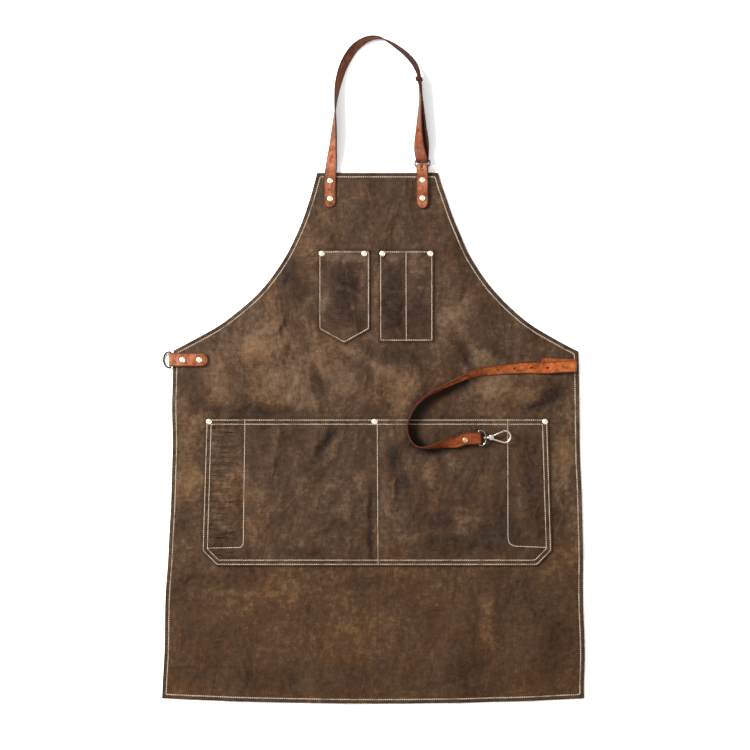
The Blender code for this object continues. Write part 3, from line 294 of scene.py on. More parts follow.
# How far the laid cloth's edge strays from its cut, in millimetres, at heights from the hem to the chest
Stray = namedtuple("Stray", "y left_x left_y right_x right_y")
STRAYS = [Stray(*row) for row in (
    (-514, 0.0, -1.9, 0.0, -2.2),
    (-495, 0.0, -1.0, 0.3, -1.0),
    (-433, 1.4, 0.0, 2.5, 0.0),
    (-356, 0.2, 0.0, 1.2, 0.0),
    (-279, 2.8, 0.0, 2.5, 0.0),
    (-202, 4.3, 0.0, 2.0, 0.0),
    (-124, 4.2, 0.0, 0.2, 0.0),
    (-47, 0.9, 0.0, 0.6, 0.0),
    (5, 0.8, 1.0, 0.8, 0.4),
    (26.6, 0.8, 3.0, 0.4, 1.4),
    (38, 0.5, 3.0, -0.4, 1.4),
    (76, 1.9, 0.4, -3.1, 0.0),
    (123, 4.6, 0.0, -2.9, 0.0),
    (169, 3.9, 0.0, -1.4, 0.0),
    (215, 2.5, 0.0, 1.2, 0.0),
    (262, 1.1, 0.0, 1.4, 0.0),
    (292, 0.3, 0.0, 0.3, 0.0),
    (304, 0.0, 0.0, 0.0, 0.0),
)]

# Narrow folds and creases, in millimetres: two ends, width and height, a valley where height is negative
Crease = namedtuple("Crease", "x1 y1 x2 y2 width height")
BODY_CREASES = [Crease(*row) for row in (
    (-105, 84, -82, 15, 16, 1.8),
    (-86, -6, -72, -44, 13, -1.2),
    (-43, 30, 42, -13, 18, 1.8),
    (3, -8, 34, -55, 12, 1.2),
    (132, 40, 150, -3, 12, -1.3),
    (146, 42, 164, 0, 16, 1.2),
    (226, -66, 288, -42, 12, -1.7),
    (214, -44, 268, -22, 13, 1.4),
    (250, -26, 294, -8, 12, -1.0),
    (176, -338, 177, -436, 24, 1.4),
    (198, -336, 197, -444, 18, -1.2),
    (-262, -67, 20, -66, 9, -0.9),
    (-300, -330, -160, -332, 22, -1.0),
    (-30, -330, 50, -328, 18, -1.0),
    (2, 168, 3, 60, 5, 0.5),
    (3, 30, 2, -62, 4, 0.6),
    (4, -312, 2, -498, 4, 0.6),
    (56, -420, 30, -505, 9, 0.8),
    (-190, 40, -120, 96, 20, 1.1),
    (-240, -10, -170, -44, 18, 1.0),
    (-300, -120, -284, -180, 10, 0.8),
    (-310, -210, -284, -216, 8, 0.6),
    (-312, -236, -286, -240, 7, 0.6),
    (292, -120, 300, -190, 11, 0.8),
    (284, -250, 304, -300, 10, 0.8),
)]
LOWER_CREASES = [Crease(*row) for row in (
    (-110, -164, -52, -92, 14, -1.4),
    (-92, -168, -38, -98, 14, 1.3),
    (-160, -190, -150, -90, 20, 0.9),
    (-120, -280, -36, -196, 18, 1.0),
    (-150, -282, -60, -222, 16, -0.8),
    (-60, -262, -12, -160, 18, 1.2),
    (16, -104, 44, -176, 18, -1.5),
    (34, -96, 66, -180, 16, 1.3),
    (84, -150, 96, -210, 15, 1.2),
    (120, -138, 136, -250, 18, 1.0),
    (100, -220, 180, -204, 10, 0.8),
    (40, -262, 170, -240, 20, 0.9),
    (-5, -178, -4, -296, 7, -1.5),
    (-20, -170, -18, -240, 14, 1.0),
    (176, -160, 196, -280, 18, 0.9),
)]
CHEST_CREASES = [Crease(*row) for row in (
    (-64, 150, -32, 118, 9, -0.6),
    (-76, 108, -40, 96, 8, 0.6),
    (-74, 92, -46, 74, 7, 0.5),
    (-60, 132, -30, 140, 9, 0.5),
    (22, 140, 44, 122, 10, 0.5),
    (60, 150, 78, 124, 10, 0.5),
)]

# Patches of the canvas, in millimetres: middle, half sizes, angle and depth, where a positive tone is
# lighter and a negative one is darker. Most are wax, worn lighter or waxed darker; the rows marked below
# paint the shade and highlight of a fold, or shade in a hollow
Patch = namedtuple("Patch", "x y wide tall angle tone")
BODY_PATCHES = [Patch(*row) for row in (
    (-124, 130, 18, 42, -12, -0.50),
    (-103, 170, 16, 30, 10, 0.32),
    (-167, 42, 46, 24, 24, 0.46),
    (-242, -26, 20, 40, 0, 0.42),
    (-145, -30, 44, 34, -8, 0.54),
    (-106, -42, 24, 28, 0, 0.30),
    (-88, -22, 9, 26, 16, -0.55),
    (-278, -22, 20, 40, 0, -0.34),
    (-196, -64, 80, 10, 0, -0.34),
    (-60, -12, 34, 26, 0, 0.40),
    (40, -10, 34, 22, -16, 0.48),
    (34, 20, 32, 13, -6, -0.38),
    (143, 26, 12, 30, 22, -0.34),
    (168, 18, 20, 26, 10, 0.34),
    (182, -22, 28, 20, 12, 0.40),
    # The next three rows paint a fold on the right: painted shade in its valley, a painted highlight on its
    # ridge
    (258, -54, 30, 6, 24, -0.64),
    (240, -40, 24, 6, 24, 0.36),
    (278, -30, 16, 8, 30, -0.50),
    (190, 30, 26, 9, -18, -0.45),
    # Painted shadow inside the waist strap's loop
    (112, -55, 20, 20, 0, -0.25),
    (276, -36, 18, 24, 0, -0.32),
    (113, 66, 26, 40, -12, 0.24),
    (140, 122, 26, 40, -30, 0.14),
    (166, 84, 20, 24, -30, -0.18),
    (-40, 232, 46, 36, 0, -0.12),
    (12, 250, 50, 30, 10, -0.08),
    (56, 236, 30, 40, 0, -0.12),
    (-72, 250, 14, 50, -12, 0.16),
    (2, 186, 60, 14, 0, -0.12),
    (100, -28, 26, 22, 10, 0.36),
    (46, -44, 24, 14, 0, 0.30),
    (-278, -174, 16, 26, 0, 0.52),
    (-296, -236, 18, 40, 0, -0.30),
    (-300, -110, 16, 26, 0, -0.10),
    (293, -135, 17, 24, 0, 0.36),
    (293, -237, 17, 46, 0, -0.20),
    (292, -190, 12, 24, 0, 0.18),
    (-100, -339, 120, 22, 0, 0.30),
    (-212, -356, 52, 28, 0, 0.26),
    (-78, -388, 60, 34, 0, 0.24),
    (2, -406, 60, 44, 0, 0.20),
    (179, -374, 22, 52, 6, 0.12),
    (204, -400, 22, 40, 0, 0.16),
    (120, -350, 50, 30, 0, 0.22),
    (262, -392, 26, 50, 0, -0.24),
    (214, -322, 32, 20, -20, -0.36),
    (-264, -424, 54, 34, 0, -0.38),
    (-292, -362, 26, 50, 0, -0.16),
    (-60, -474, 180, 22, 0, -0.30),
    (150, -466, 90, 24, 0, -0.22),
    (290, -436, 26, 54, 0, -0.40),
    (276, -480, 26, 18, 0, 0.12),
    (-280, -496, 60, 12, 0, 0.16),
    (-180, -420, 60, 40, 20, 0.08),
    (-290, -120, 18, 90, 0, 0.20),
)]
LOWER_PATCHES = [Patch(*row) for row in (
    (-120, -190, 120, 84, 0, 0.14),
    (170, -190, 120, 84, 0, -0.12),
    (-76, -114, 7, 36, -26, -0.75),
    (-130, -107, 7, 17, -36, -0.40),
    (-163, -117, 6, 14, -10, -0.34),
    # The next two rows paint shade in the hollow beside the middle seam
    (2, -112, 4, 24, 0, -0.50),
    (-5, -238, 4, 60, 1, -1.0),
    (-15, -172, 13, 20, 0, 0.46),
    (-10, -206, 12, 16, 0, 0.36),
    (-60, -128, 6, 18, -10, 0.26),
    (-52, -178, 12, 34, -46, 0.24),
    (-48, -219, 12, 12, 0, 0.34),
    (-32, -267, 12, 10, 20, 0.46),
    (-80, -267, 9, 11, 0, 0.36),
    (-189, -264, 9, 13, 0, 0.28),
    (-182, -148, 13, 30, 0, -0.24),
    (-154, -233, 22, 12, 0, -0.26),
    (-114, -282, 32, 8, 0, -0.32),
    (-62, -240, 14, 12, 0, -0.20),
    (-86, -161, 18, 8, -10, -0.36),
    (-104, -190, 22, 20, 0, 0.14),
    (-233, -254, 20, 7, 0, -0.30),
    (-228, -150, 26, 66, 0, 0.46),
    (-228, -226, 24, 24, 0, 0.26),
    (28, -140, 11, 28, -16, -0.60),
    (50, -128, 16, 16, 20, -0.40),
    (20, -196, 12, 34, 0, 0.34),
    (44, -178, 9, 24, -18, -0.34),
    (86, -158, 14, 20, 0, 0.48),
    (132, -142, 16, 22, 0, 0.42),
    (112, -180, 18, 20, 10, 0.28),
    (136, -219, 30, 4, 7, 0.45),
    (142, -231, 26, 4, 8, 0.34),
    (96, -214, 16, 5, 20, 0.30),
    (104, -238, 20, 8, 0, -0.30),
    (56, -264, 22, 9, 0, 0.36),
    (130, -270, 60, 14, 0, -0.34),
    (172, -180, 16, 30, 0, 0.18),
    (190, -242, 16, 44, 0, -0.34),
    (238, -122, 16, 26, 0, -0.42),
    (246, -204, 13, 50, 0, -0.34),
    (222, -190, 7, 60, 0, 0.20),
)]
POINTED_PATCHES = [Patch(*row) for row in (
    (-45, 174, 36, 11, 0, 0.62),
    (-43, 128, 21, 34, 0, -0.56),
    (-40, 82, 26, 22, 0, -0.34),
    (-77, 112, 7, 42, 0, 0.42),
    (-14, 140, 7, 26, 0, 0.22),
    (-38, 119, 22, 4, -24, 0.66),
    (-33, 98, 12, 4, -34, 0.52),
)]
DIVIDED_PATCHES = [Patch(*row) for row in (
    (29, 174, 16, 10, 0, 0.42),
    (29, 104, 16, 46, 0, -0.85),
    (69, 162, 15, 18, 0, 0.62),
    (72, 94, 18, 36, 0, -0.34),
    (84, 118, 8, 22, 0, 0.20),
)]

# Lengths of the neck strap with painted shade, on the right of its loop and under the free end, or made
# paler below 0: each end is a share of the run to the buckle and a length added to it
NeckShade = namedtuple("NeckShade", "first out last past depth")
NECK_SHADES = (
    NeckShade(0.56, 0.0, 1.0, 0.03, 0.72),
    NeckShade(0.74, 0.0, 1.0, 0.01, 0.96),
    NeckShade(0.0, -0.05, 0.0, 0.12, -0.8),
)

# Rooms of the pockets, as shares of their width and depth; ceiling 0 is an open mouth
Room = namedtuple("Room", "left right ceiling floor")
POINTED_ROOMS = (Room(0.125, 0.824, 0.0, 0.84),)
DIVIDED_ROOMS = (Room(0.120, 0.485, 0.0, 0.975), Room(0.515, 0.880, 0.0, 0.975))
LOWER_ROOMS = (
    Room(0.020, 0.112, 0.0, 0.880),
    Room(0.121, 0.483, 0.0, 0.960),
    Room(0.513, 0.574, 0.0, 0.960),
    Room(0.513, 0.881, 0.23, 0.960),
    Room(0.892, 0.980, 0.0, 0.880),
)

# Routes of the straps, a row for each place where one turns or rolls
Turn = namedtuple("Turn", "along up roll bed lift", defaults=(0.0,))
NECK_ROUTE = [Turn(*row) for row in (
    (0.107, -0.211, 0, 1),
    (0.108, -0.059, 0, 1),
    (0.110, -0.026, 1, 1),
    (0.114, 0.015, 8, 1),
    (0.121, 0.074, 24, 0),
    (0.130, 0.169, 48, 0),
    (0.138, 0.257, 60, 0),
    (0.144, 0.353, 72, 0),
    (0.149, 0.449, 88, 0),
    (0.157, 0.544, 101, 0),
    (0.169, 0.625, 113, 0),
    (0.188, 0.699, 122, 0),
    (0.218, 0.779, 128, 0),
    (0.258, 0.849, 130, 0),
    (0.312, 0.914, 126, 0),
    (0.380, 0.961, 115, 0),
    (0.446, 0.985, 103, 0),
    (0.511, 0.9875, 91, 0),
    (0.581, 0.965, 77, 0),
    (0.653, 0.924, 69, 0),
    (0.727, 0.873, 65, 0),
    (0.788, 0.814, 64, 0, 0.06),
    (0.826, 0.754, 67, 0, 0.14),
    (0.846, 0.690, 77, 0, 0.18),
    (0.858, 0.625, 83, 0, 0.15),
    (0.868, 0.537, 90, 0, 0.06),
    (0.876, 0.426, 100, 0),
    (0.883, 0.316, 112, 0),
    (0.886, 0.221, 132, 0),
    (0.879, 0.154, 153, 0),
)]
FREE_ROUTE = [Turn(*row) for row in (
    (0.850, 0.147, 22, 0, 0.41),
    (0.842, 0.206, 38, 0, 0.24),
    (0.842, 0.279, 54, 0, 0.12),
    (0.844, 0.353, 66, 0, 0.06),
    (0.849, 0.449, 76, 0, 0.04),
    (0.853, 0.537, 82, 0, 0.08),
    (0.847, 0.610, 88, 0, 0.14),
    (0.838, 0.669, 98, 0, 0.18),
)]
WAIST_ROUTE = [Turn(*row) for row in (
    (0.070, 0.015, 0, 1, 0.245),
    (0.129, 0.024, 0, 1, 0.240),
    (0.175, 0.030, 2, 1, 0.200),
    (0.222, 0.032, 8, 1, 0.060),
    (0.281, 0.030, 14, 1),
    (0.339, 0.032, 20, 1),
    (0.398, 0.039, 27, 1),
    (0.456, 0.051, 33, 1),
    (0.515, 0.063, 40, 1),
    (0.567, 0.078, 49, 1),
    (0.624, 0.112, 60, 1),
    (0.684, 0.163, 66, 1),
    (0.743, 0.218, 71, 1),
    (0.802, 0.279, 75, 1),
    (0.861, 0.341, 78, 1),
    (0.919, 0.429, 81, 1, 0.02),
    (0.965, 0.545, 83, 1, 0.07),
    (0.992, 0.671, 85, 2),
    (0.999, 0.780, 86, 2),
    (0.987, 0.882, 88, 2),
    (0.960, 0.960, 90, 2),
    (0.922, 0.999, 93, 2),
    (0.874, 0.995, 102, 2),
    (0.819, 0.968, 120, 2, 0.03),
    (0.766, 0.949, 138, 2, 0.09),
    (0.713, 0.934, 160, 2, 0.24),
)]

Station = namedtuple("Station", "centre across half")
Rivet = namedtuple("Rivet", "name x y low high")


# Sizes and colours that a user may change

class ApronSizes(bpy.types.PropertyGroup):
    cloth_grid: bpy.props.FloatProperty(
        name="Cloth grid", description="Side of the cells that the canvas is cut into",
        default=0.0037, min=0.003, max=0.02, unit="LENGTH",
    )
    wrinkle: bpy.props.FloatProperty(
        name="Wrinkles", description="Height of the small wrinkles all over the canvas",
        default=0.0009, min=0.0, max=0.002, unit="LENGTH",
    )
    pucker: bpy.props.FloatProperty(
        name="Hem puckers", description="Height of the puckers between the stitching and the edge",
        default=0.0005, min=0.0, max=0.001, unit="LENGTH",
    )
    stitch_pitch: bpy.props.FloatProperty(
        name="Stitch pitch", description="From the middle of one stitch to the next",
        default=0.0033, min=0.002, max=0.01, unit="LENGTH",
    )
    stitch_length: bpy.props.FloatProperty(
        name="Stitch length", description="Length of thread that shows between two needle holes",
        default=0.0032, min=0.001, max=0.009, unit="LENGTH",
    )
    thread: bpy.props.FloatProperty(
        name="Thread", description="Width of the thread as it lies on the canvas",
        default=0.0015, min=0.0004, max=0.0025, unit="LENGTH",
    )
    hem_thread: bpy.props.FloatProperty(
        name="Hem thread", description="Width of the thick thread along the hem",
        default=0.0022, min=0.0004, max=0.003, unit="LENGTH",
    )
    strap_edge: bpy.props.FloatProperty(
        name="Strap edge", description="Radius that the edges of the leather are rubbed down to",
        default=0.0004, min=0.0001, max=0.0009, unit="LENGTH",
    )


class ApronColours(bpy.types.PropertyGroup):
    canvas_dark: bpy.props.FloatVectorProperty(
        name="Canvas, waxed dark", description="Canvas where the wax lies thickest",
        default=(0.0092, 0.0055, 0.0035), size=3, min=0.0, max=1.0, subtype="COLOR",
    )
    canvas: bpy.props.FloatVectorProperty(
        name="Canvas", description="Canvas between its dark and its worn patches",
        default=(0.0392, 0.0209, 0.0100), size=3, min=0.0, max=1.0, subtype="COLOR",
    )
    canvas_worn: bpy.props.FloatVectorProperty(
        name="Canvas, worn", description="Canvas where the wax is rubbed away",
        default=(0.1120, 0.0670, 0.0320), size=3, min=0.0, max=1.0, subtype="COLOR",
    )
    thread: bpy.props.FloatVectorProperty(
        name="Thread", description="Cotton thread of every seam",
        default=(0.560, 0.470, 0.350), size=3, min=0.0, max=1.0, subtype="COLOR",
    )
    leather: bpy.props.FloatVectorProperty(
        name="Leather", description="Oiled leather of the straps and tabs",
        default=(0.175, 0.052, 0.020), size=3, min=0.0, max=1.0, subtype="COLOR",
    )
    leather_worn: bpy.props.FloatVectorProperty(
        name="Leather, worn", description="Leather where it is bent and handled",
        default=(0.290, 0.120, 0.064), size=3, min=0.0, max=1.0, subtype="COLOR",
    )
    leather_dark: bpy.props.FloatVectorProperty(
        name="Leather, dark", description="Leather along its rubbed edges and in its pores",
        default=(0.042, 0.0125, 0.0060), size=3, min=0.0, max=1.0, subtype="COLOR",
    )
    floor: bpy.props.FloatVectorProperty(
        name="Floor", description="Paper under the apron",
        default=(0.97, 0.97, 0.97), size=3, min=0.0, max=1.0, subtype="COLOR",
    )


def sizes():
    return bpy.context.scene.apron_sizes


def colours():
    return bpy.context.scene.apron_colours


# Shader nodes

class Value:
    """A socket of a shader. An operator on it adds the Math node that works it out."""

    def __init__(self, finish, socket):
        self.finish = finish
        self.socket = socket

    def math(self, operation, *others):
        values = {i: value for i, value in enumerate(others)}
        return self.finish.node("ShaderNodeMath", {"operation": operation}, values)

    def __add__(self, other):
        return self.math("ADD", self, other)

    def __radd__(self, other):
        return self.math("ADD", other, self)

    def __sub__(self, other):
        return self.math("SUBTRACT", self, other)

    def __rsub__(self, other):
        return self.math("SUBTRACT", other, self)

    def __mul__(self, other):
        return self.math("MULTIPLY", self, other)

    def __rmul__(self, other):
        return self.math("MULTIPLY", other, self)

    def absolute(self):
        return self.math("ABSOLUTE", self)

    def sine(self):
        return self.math("SINE", self)

    def clamped(self):
        return self.finish.node("ShaderNodeClamp", {}, {"Value": self, "Min": 0.0, "Max": 1.0})


class Finish:
    """A material, built one node at a time."""

    def __init__(self, name):
        self.material = bpy.data.materials.new(name)
        self.material.use_nodes = True
        self.tree = self.material.node_tree
        self.shader = self.tree.nodes["Principled BSDF"]

    def connect(self, socket, value):
        if isinstance(value, Value):
            self.tree.links.new(value.socket, socket)
        elif socket.type == "RGBA":
            socket.default_value = (*value[:3], 1.0)
        else:
            socket.default_value = value

    def node(self, kind, settings=None, values=None, output=0):
        made = self.tree.nodes.new(kind)
        for name, setting in (settings or {}).items():
            if name == "stops":
                ramp = made.color_ramp
                while len(ramp.elements) < len(setting):
                    ramp.elements.new(1.0)
                for element, (position, colour) in zip(ramp.elements, setting):
                    element.position = position
                    element.color = (*colour[:3], 1.0)
            else:
                setattr(made, name, setting)
        for name, value in (values or {}).items():
            self.connect(made.inputs[name], value)
        return Value(self, made.outputs[output])

    def place(self):
        return self.node("ShaderNodeTexCoord", output="Object")

    def scaled(self, vector, scale, turn=0.0):
        values = {"Vector": vector, "Scale": scale, "Rotation": (0.0, 0.0, math.radians(turn))}
        return self.node("ShaderNodeMapping", {}, values)

    def noise(self, vector, scale, detail=4.0, roughness=0.55, distortion=0.0):
        values = {
            "Vector": vector, "Scale": scale, "Detail": detail,
            "Roughness": roughness, "Distortion": distortion,
        }
        return self.node("ShaderNodeTexNoise", {}, values, "Fac")

    def cells(self, vector, scale, feature="F1"):
        values = {"Vector": vector, "Scale": scale}
        return self.node("ShaderNodeTexVoronoi", {"feature": feature}, values, "Distance")

    def ramp(self, factor, *stops):
        return self.node("ShaderNodeValToRGB", {"stops": stops}, {"Fac": factor}, "Color")

    def step(self, value, low, high):
        values = {"Value": value, "From Min": low, "From Max": high}
        return self.node("ShaderNodeMapRange", {"interpolation_type": "SMOOTHSTEP"}, values)

    def mix(self, factor, first, second, blend="MIX"):
        settings = {"data_type": "RGBA", "blend_type": blend}
        return self.node("ShaderNodeMix", settings, {0: factor, 6: first, 7: second}, 2)

    def attribute(self, name):
        return self.node("ShaderNodeAttribute", {"attribute_name": name}, {}, "Fac")

    def apart(self, vector):
        """X and Y of a vector."""
        x = self.node("ShaderNodeSeparateXYZ", {}, {"Vector": vector}, "X")
        return x, Value(self, x.socket.node.outputs["Y"])

    def relief(self, *rows):
        """Normal of bumps laid one over another, each row a height, its distance and its strength."""
        normal = None
        for height, distance, strength in rows:
            values = {"Height": height, "Distance": distance, "Strength": strength}
            if normal:
                values["Normal"] = normal
            normal = self.node("ShaderNodeBump", {}, values, "Normal")
        return normal

    def surface(self, **values):
        for name, value in values.items():
            self.connect(self.shader.inputs[name.replace("_", " ")], value)
        return self.material


def weave(finish, vector, pitch):
    """Height of a plain weave: threads along and across that pass over one another by turns."""
    x, y = finish.apart(vector)
    turn = 2 * math.pi / pitch
    over = (x * (turn / 2)).sine() * (y * (turn / 2)).sine()
    threads = (x * turn).sine() * 0.5 + (y * turn).sine() * 0.5
    return over * 0.6 + threads * 0.4


def canvas_finish(name, shift, cool):
    """Waxed canvas: clouded wax, high spots lighter from wear and painted light, fine creases in the wax
    and the weave under it.
    Shift makes all of it lighter, and cool is how far it turns from rust to plum."""
    finish = Finish(name)
    place = finish.place()
    y = finish.apart(place)[1]
    painted, gather, hem = [finish.attribute(layer) for layer in ("tone", "gather", "hem")]

    # The wax: broad clouds, blots and specks, with the threads showing through
    clouds = finish.noise(place, 8.0, 8.0, 0.62, 0.5)
    blots = finish.noise(finish.scaled(place, (1.0, 0.9, 1.0), 20), 27.0, 6.0, 0.62, 0.5)
    specks = finish.noise(place, 130.0, 6.0, 0.70)
    threads = finish.noise(finish.scaled(place, (1.0, 0.14, 1.0)), 560.0, 3.0, 0.6)
    picks = finish.noise(finish.scaled(place, (0.14, 1.0, 1.0)), 560.0, 3.0, 0.6)

    # Creases in the wax, pleats where the cloth is gathered, and cracks in broken patches
    ridges = finish.noise(finish.scaled(place, (1.0, 0.70, 1.0), 24), 15.0, 3.0, 0.50, 0.8)
    crease = (1.0 - (ridges - 0.5).absolute() * 16.0).clamped()
    pleats = finish.noise(finish.scaled(place, (0.13, 1.0, 1.0), 3), 165.0, 4.0, 0.62, 0.5)
    pleats = (pleats - 0.5) * gather
    crackle = finish.cells(finish.scaled(place, (1.0, 0.62, 1.0), 35), 58.0, "DISTANCE_TO_EDGE")
    crack = 1.0 - finish.step(crackle + (specks - 0.5) * 0.10, 0.0, 0.07)
    crack = crack * finish.step(finish.noise(place, 19.0, 3.0), 0.50, 0.68)

    # The skirt below the lower pocket is more even and a little darker than what is above it
    above = finish.step(y, -0.36, -0.24)
    clouded = ((clouds - 0.5) * 0.78 + (blots - 0.5) * 0.46) * (0.55 + above * 0.45)
    # The tone layer carries the patches with the painted light and shade laid on each point
    tone = shift - (1.0 - above) * 0.09 + clouded + (specks - 0.5) * 1.05 + painted * 0.50
    tone = tone + (threads - 0.5) * 0.26 + (picks - 0.5) * 0.26
    # The pleats' height is painted into the tone too: painted highlight on their tops, painted shade between
    tone = tone + (crease - 0.5) * 0.06 + crack * 0.08 + pleats * 0.8
    dark, middle, worn = colours().canvas_dark, colours().canvas, colours().canvas_worn
    shade = finish.ramp(tone.clamped(), (0.0, dark), (0.5, middle), (1.0, worn))
    rust = finish.step(finish.noise(place, 13.0, 4.0, 0.6), 0.42, 0.66)
    rust = (rust * 0.55 + (1.0 - above) * 0.40).clamped()
    shade = finish.mix(rust, shade, (1.13, 0.94, 0.70), "MULTIPLY")
    plum = finish.step(finish.noise(finish.scaled(place, (1.0, 1.0, 1.0), 70), 7.0, 4.0, 0.6), 0.44, 0.66)
    plum = (plum * 0.15 + (cool + finish.step(y, -0.30, 0.16) * 0.60)) * (0.35 + tone)
    shade = finish.mix(plum.clamped(), shade, (0.97, 0.985, 1.22), "MULTIPLY")
    shade = finish.mix(hem, shade, (0.90, 0.88, 0.86), "MULTIPLY")
    folds = finish.noise(finish.scaled(place, (1.0, 0.62, 1.0), 22), 23.0, 2.5, 0.45, 0.6)
    normal = finish.relief(
        (weave(finish, place, 0.00095), 0.00012, 0.5),
        (finish.noise(place, 240.0, 6.0, 0.66), 0.0008, 0.5),
        (crack, 0.0004, 0.4),
        (crease, 0.0014, 0.45),
        (pleats, 0.0070, 1.0),
        (finish.noise(place, 78.0, 3.0, 0.5), 0.0030, 0.5),
        (folds * (0.45 + above * 0.55), 0.0145, 0.8),
    )
    rough = 0.66 + (specks - 0.5) * 0.22 + (1.0 - tone.clamped()) * 0.06
    return finish.surface(Base_Color=shade, Roughness=rough, Normal=normal, Specular_IOR_Level=0.08)


def leather_finish(name, tone_level, tint, mottle):
    """Oiled strap leather: pulled-up colour, pores, bend wrinkles, dark rubbed edges and a rough back.
    Painted shade lies in rings round the rivet caps and on the lengths given it; below 0 it is paler instead.
    Tone level makes it paler, tint colours it, and mottle is how far it is blotched."""
    finish = Finish(name)
    flat = finish.node("ShaderNodeUVMap", {"uv_map": "strap"})
    place = finish.place()
    edge, back, aged = [finish.attribute(layer) for layer in ("edge", "back", "aged")]
    paler_share = (aged * -1.0).clamped()
    leather, worn, dark = colours().leather, colours().leather_worn, colours().leather_dark
    clouds = finish.noise(flat, 85.0, 6.0, 0.66, 0.7)
    streaks = finish.noise(finish.scaled(flat, (0.25, 1.0, 1.0)), 260.0, 4.0, 0.6)
    pores = finish.cells(flat, 1500.0)
    wrinkle = finish.noise(finish.scaled(flat, (1.0, 0.22, 1.0), 8), 420.0, 4.0, 0.65, 0.5)
    tone = tone_level + (clouds - 0.5) * 2.0 + (streaks - 0.5) * 0.7 + (wrinkle - 0.5) * 0.6
    shade = finish.ramp(tone.clamped(), (0.0, dark), (0.42, leather), (1.0, worn))
    spots = finish.noise(place, 92.0, 5.0, 0.62, 0.6)
    blotched = paler_share * 0.5 + mottle
    shade = finish.mix(finish.step(spots, 0.54, 0.68) * blotched, shade, (0.40, 0.17, 0.12))
    shade = finish.mix(finish.step(spots, 0.46, 0.34) * blotched, shade, (0.10, 0.022, 0.010))
    blush = finish.step(finish.noise(place, 34.0, 4.0, 0.6), 0.42, 0.62)
    shade = finish.mix(blush * 0.6, shade, (1.05, 0.86, 0.68), "MULTIPLY")
    fibres = finish.noise(place, 900.0, 4.0, 0.7)
    suede = finish.ramp(fibres, (0.25, (0.060, 0.020, 0.010)), (0.75, (0.110, 0.042, 0.021)))
    shade = finish.mix(back, shade, suede)
    shade = finish.mix(1.0, shade, finish.mix(paler_share, tint, (0.98, 0.98, 0.98)), "MULTIPLY")
    # Painted shade: deeper orange and darker where the leather stands in shade
    shade = finish.mix(aged, shade, (0.90, 0.50, 0.25), "MULTIPLY")
    shade = finish.mix(aged, shade, finish.mix(0.5, dark, (0.012, 0.004, 0.002)))
    # Darker along the rubbed edges, with painted shade in the rings round the rivet caps
    edge_rub_and_cap_shade = finish.step(edge + (streaks - 0.5) * 0.6, 0.15, 0.80)
    shade = finish.mix(edge_rub_and_cap_shade * 0.82, shade, [c * 0.75 for c in dark])
    pit = 1.0 - finish.step(pores, 0.08, 0.42)
    shade = finish.mix(pit * 0.22, shade, dark)
    normal = finish.relief(
        (pores, 0.00012, 0.40), (wrinkle, 0.0006, 0.45), (clouds, 0.0016, 0.5), (fibres * back, 0.0005, 0.5)
    )
    rough = 0.50 + (clouds - 0.5) * 0.26 + back * 0.30 + (streaks - 0.5) * 0.10 + aged.clamped() * 0.35
    return finish.surface(
        Base_Color=shade, Roughness=rough.clamped(), Normal=normal, Specular_IOR_Level=0.09
    )


def metal_finish(name, light, dark, rough, wear, metal=1.0):
    """Plated metal with a clouded polish, fine scratches and dull patches where the plating is worn."""
    finish = Finish(name)
    place = finish.place()
    clouds = finish.noise(place, 220.0, 4.0, 0.6)
    scratch = finish.noise(finish.scaled(place, (1.0, 0.12, 1.0), 40), 2600.0, 2.0, 0.6)
    dull = finish.step(finish.noise(place, 420.0, 4.0, 0.65), 0.5, 0.72) * wear
    polish = rough + (clouds - 0.5) * 0.16 + (scratch - 0.5) * 0.14 + dull * 0.22
    return finish.surface(
        Base_Color=finish.mix(dull, light, dark), Roughness=polish, Metallic=metal, Specular_IOR_Level=0.12,
        Normal=finish.relief((scratch, 0.00003, 0.5), (clouds, 0.0002, 0.25)),
    )


def thread_finish(name, pale_share):
    """Waxed cotton thread: pale, grubby in places, with its twist."""
    finish = Finish(name)
    place = finish.place()
    darkness = finish.noise(place, 70.0, 4.0, 0.6)
    plies = finish.noise(finish.scaled(place, (1.0, 1.0, 1.0), 30), 1500.0, 2.0)
    pale = [c * pale_share for c in colours().thread]
    dark = [c * s for c, s in zip(pale, (0.46, 0.40, 0.34))]
    shade = finish.mix(finish.step(darkness, 0.42, 0.70), pale, dark)
    shade = finish.mix(finish.step(plies, 0.35, 0.65) * 0.3, shade, dark)
    normal = finish.relief((plies, 0.0002, 0.5))
    return finish.surface(Base_Color=shade, Roughness=0.72, Normal=normal, Specular_IOR_Level=0.3)


def paper_finish(name):
    """White matt paper with faint fibres."""
    finish = Finish(name)
    normal = finish.relief((finish.noise(finish.place(), 120.0, 4.0), 0.0002, 0.1))
    return finish.surface(
        Base_Color=colours().floor, Roughness=0.9, Normal=normal, Specular_IOR_Level=0.1
    )


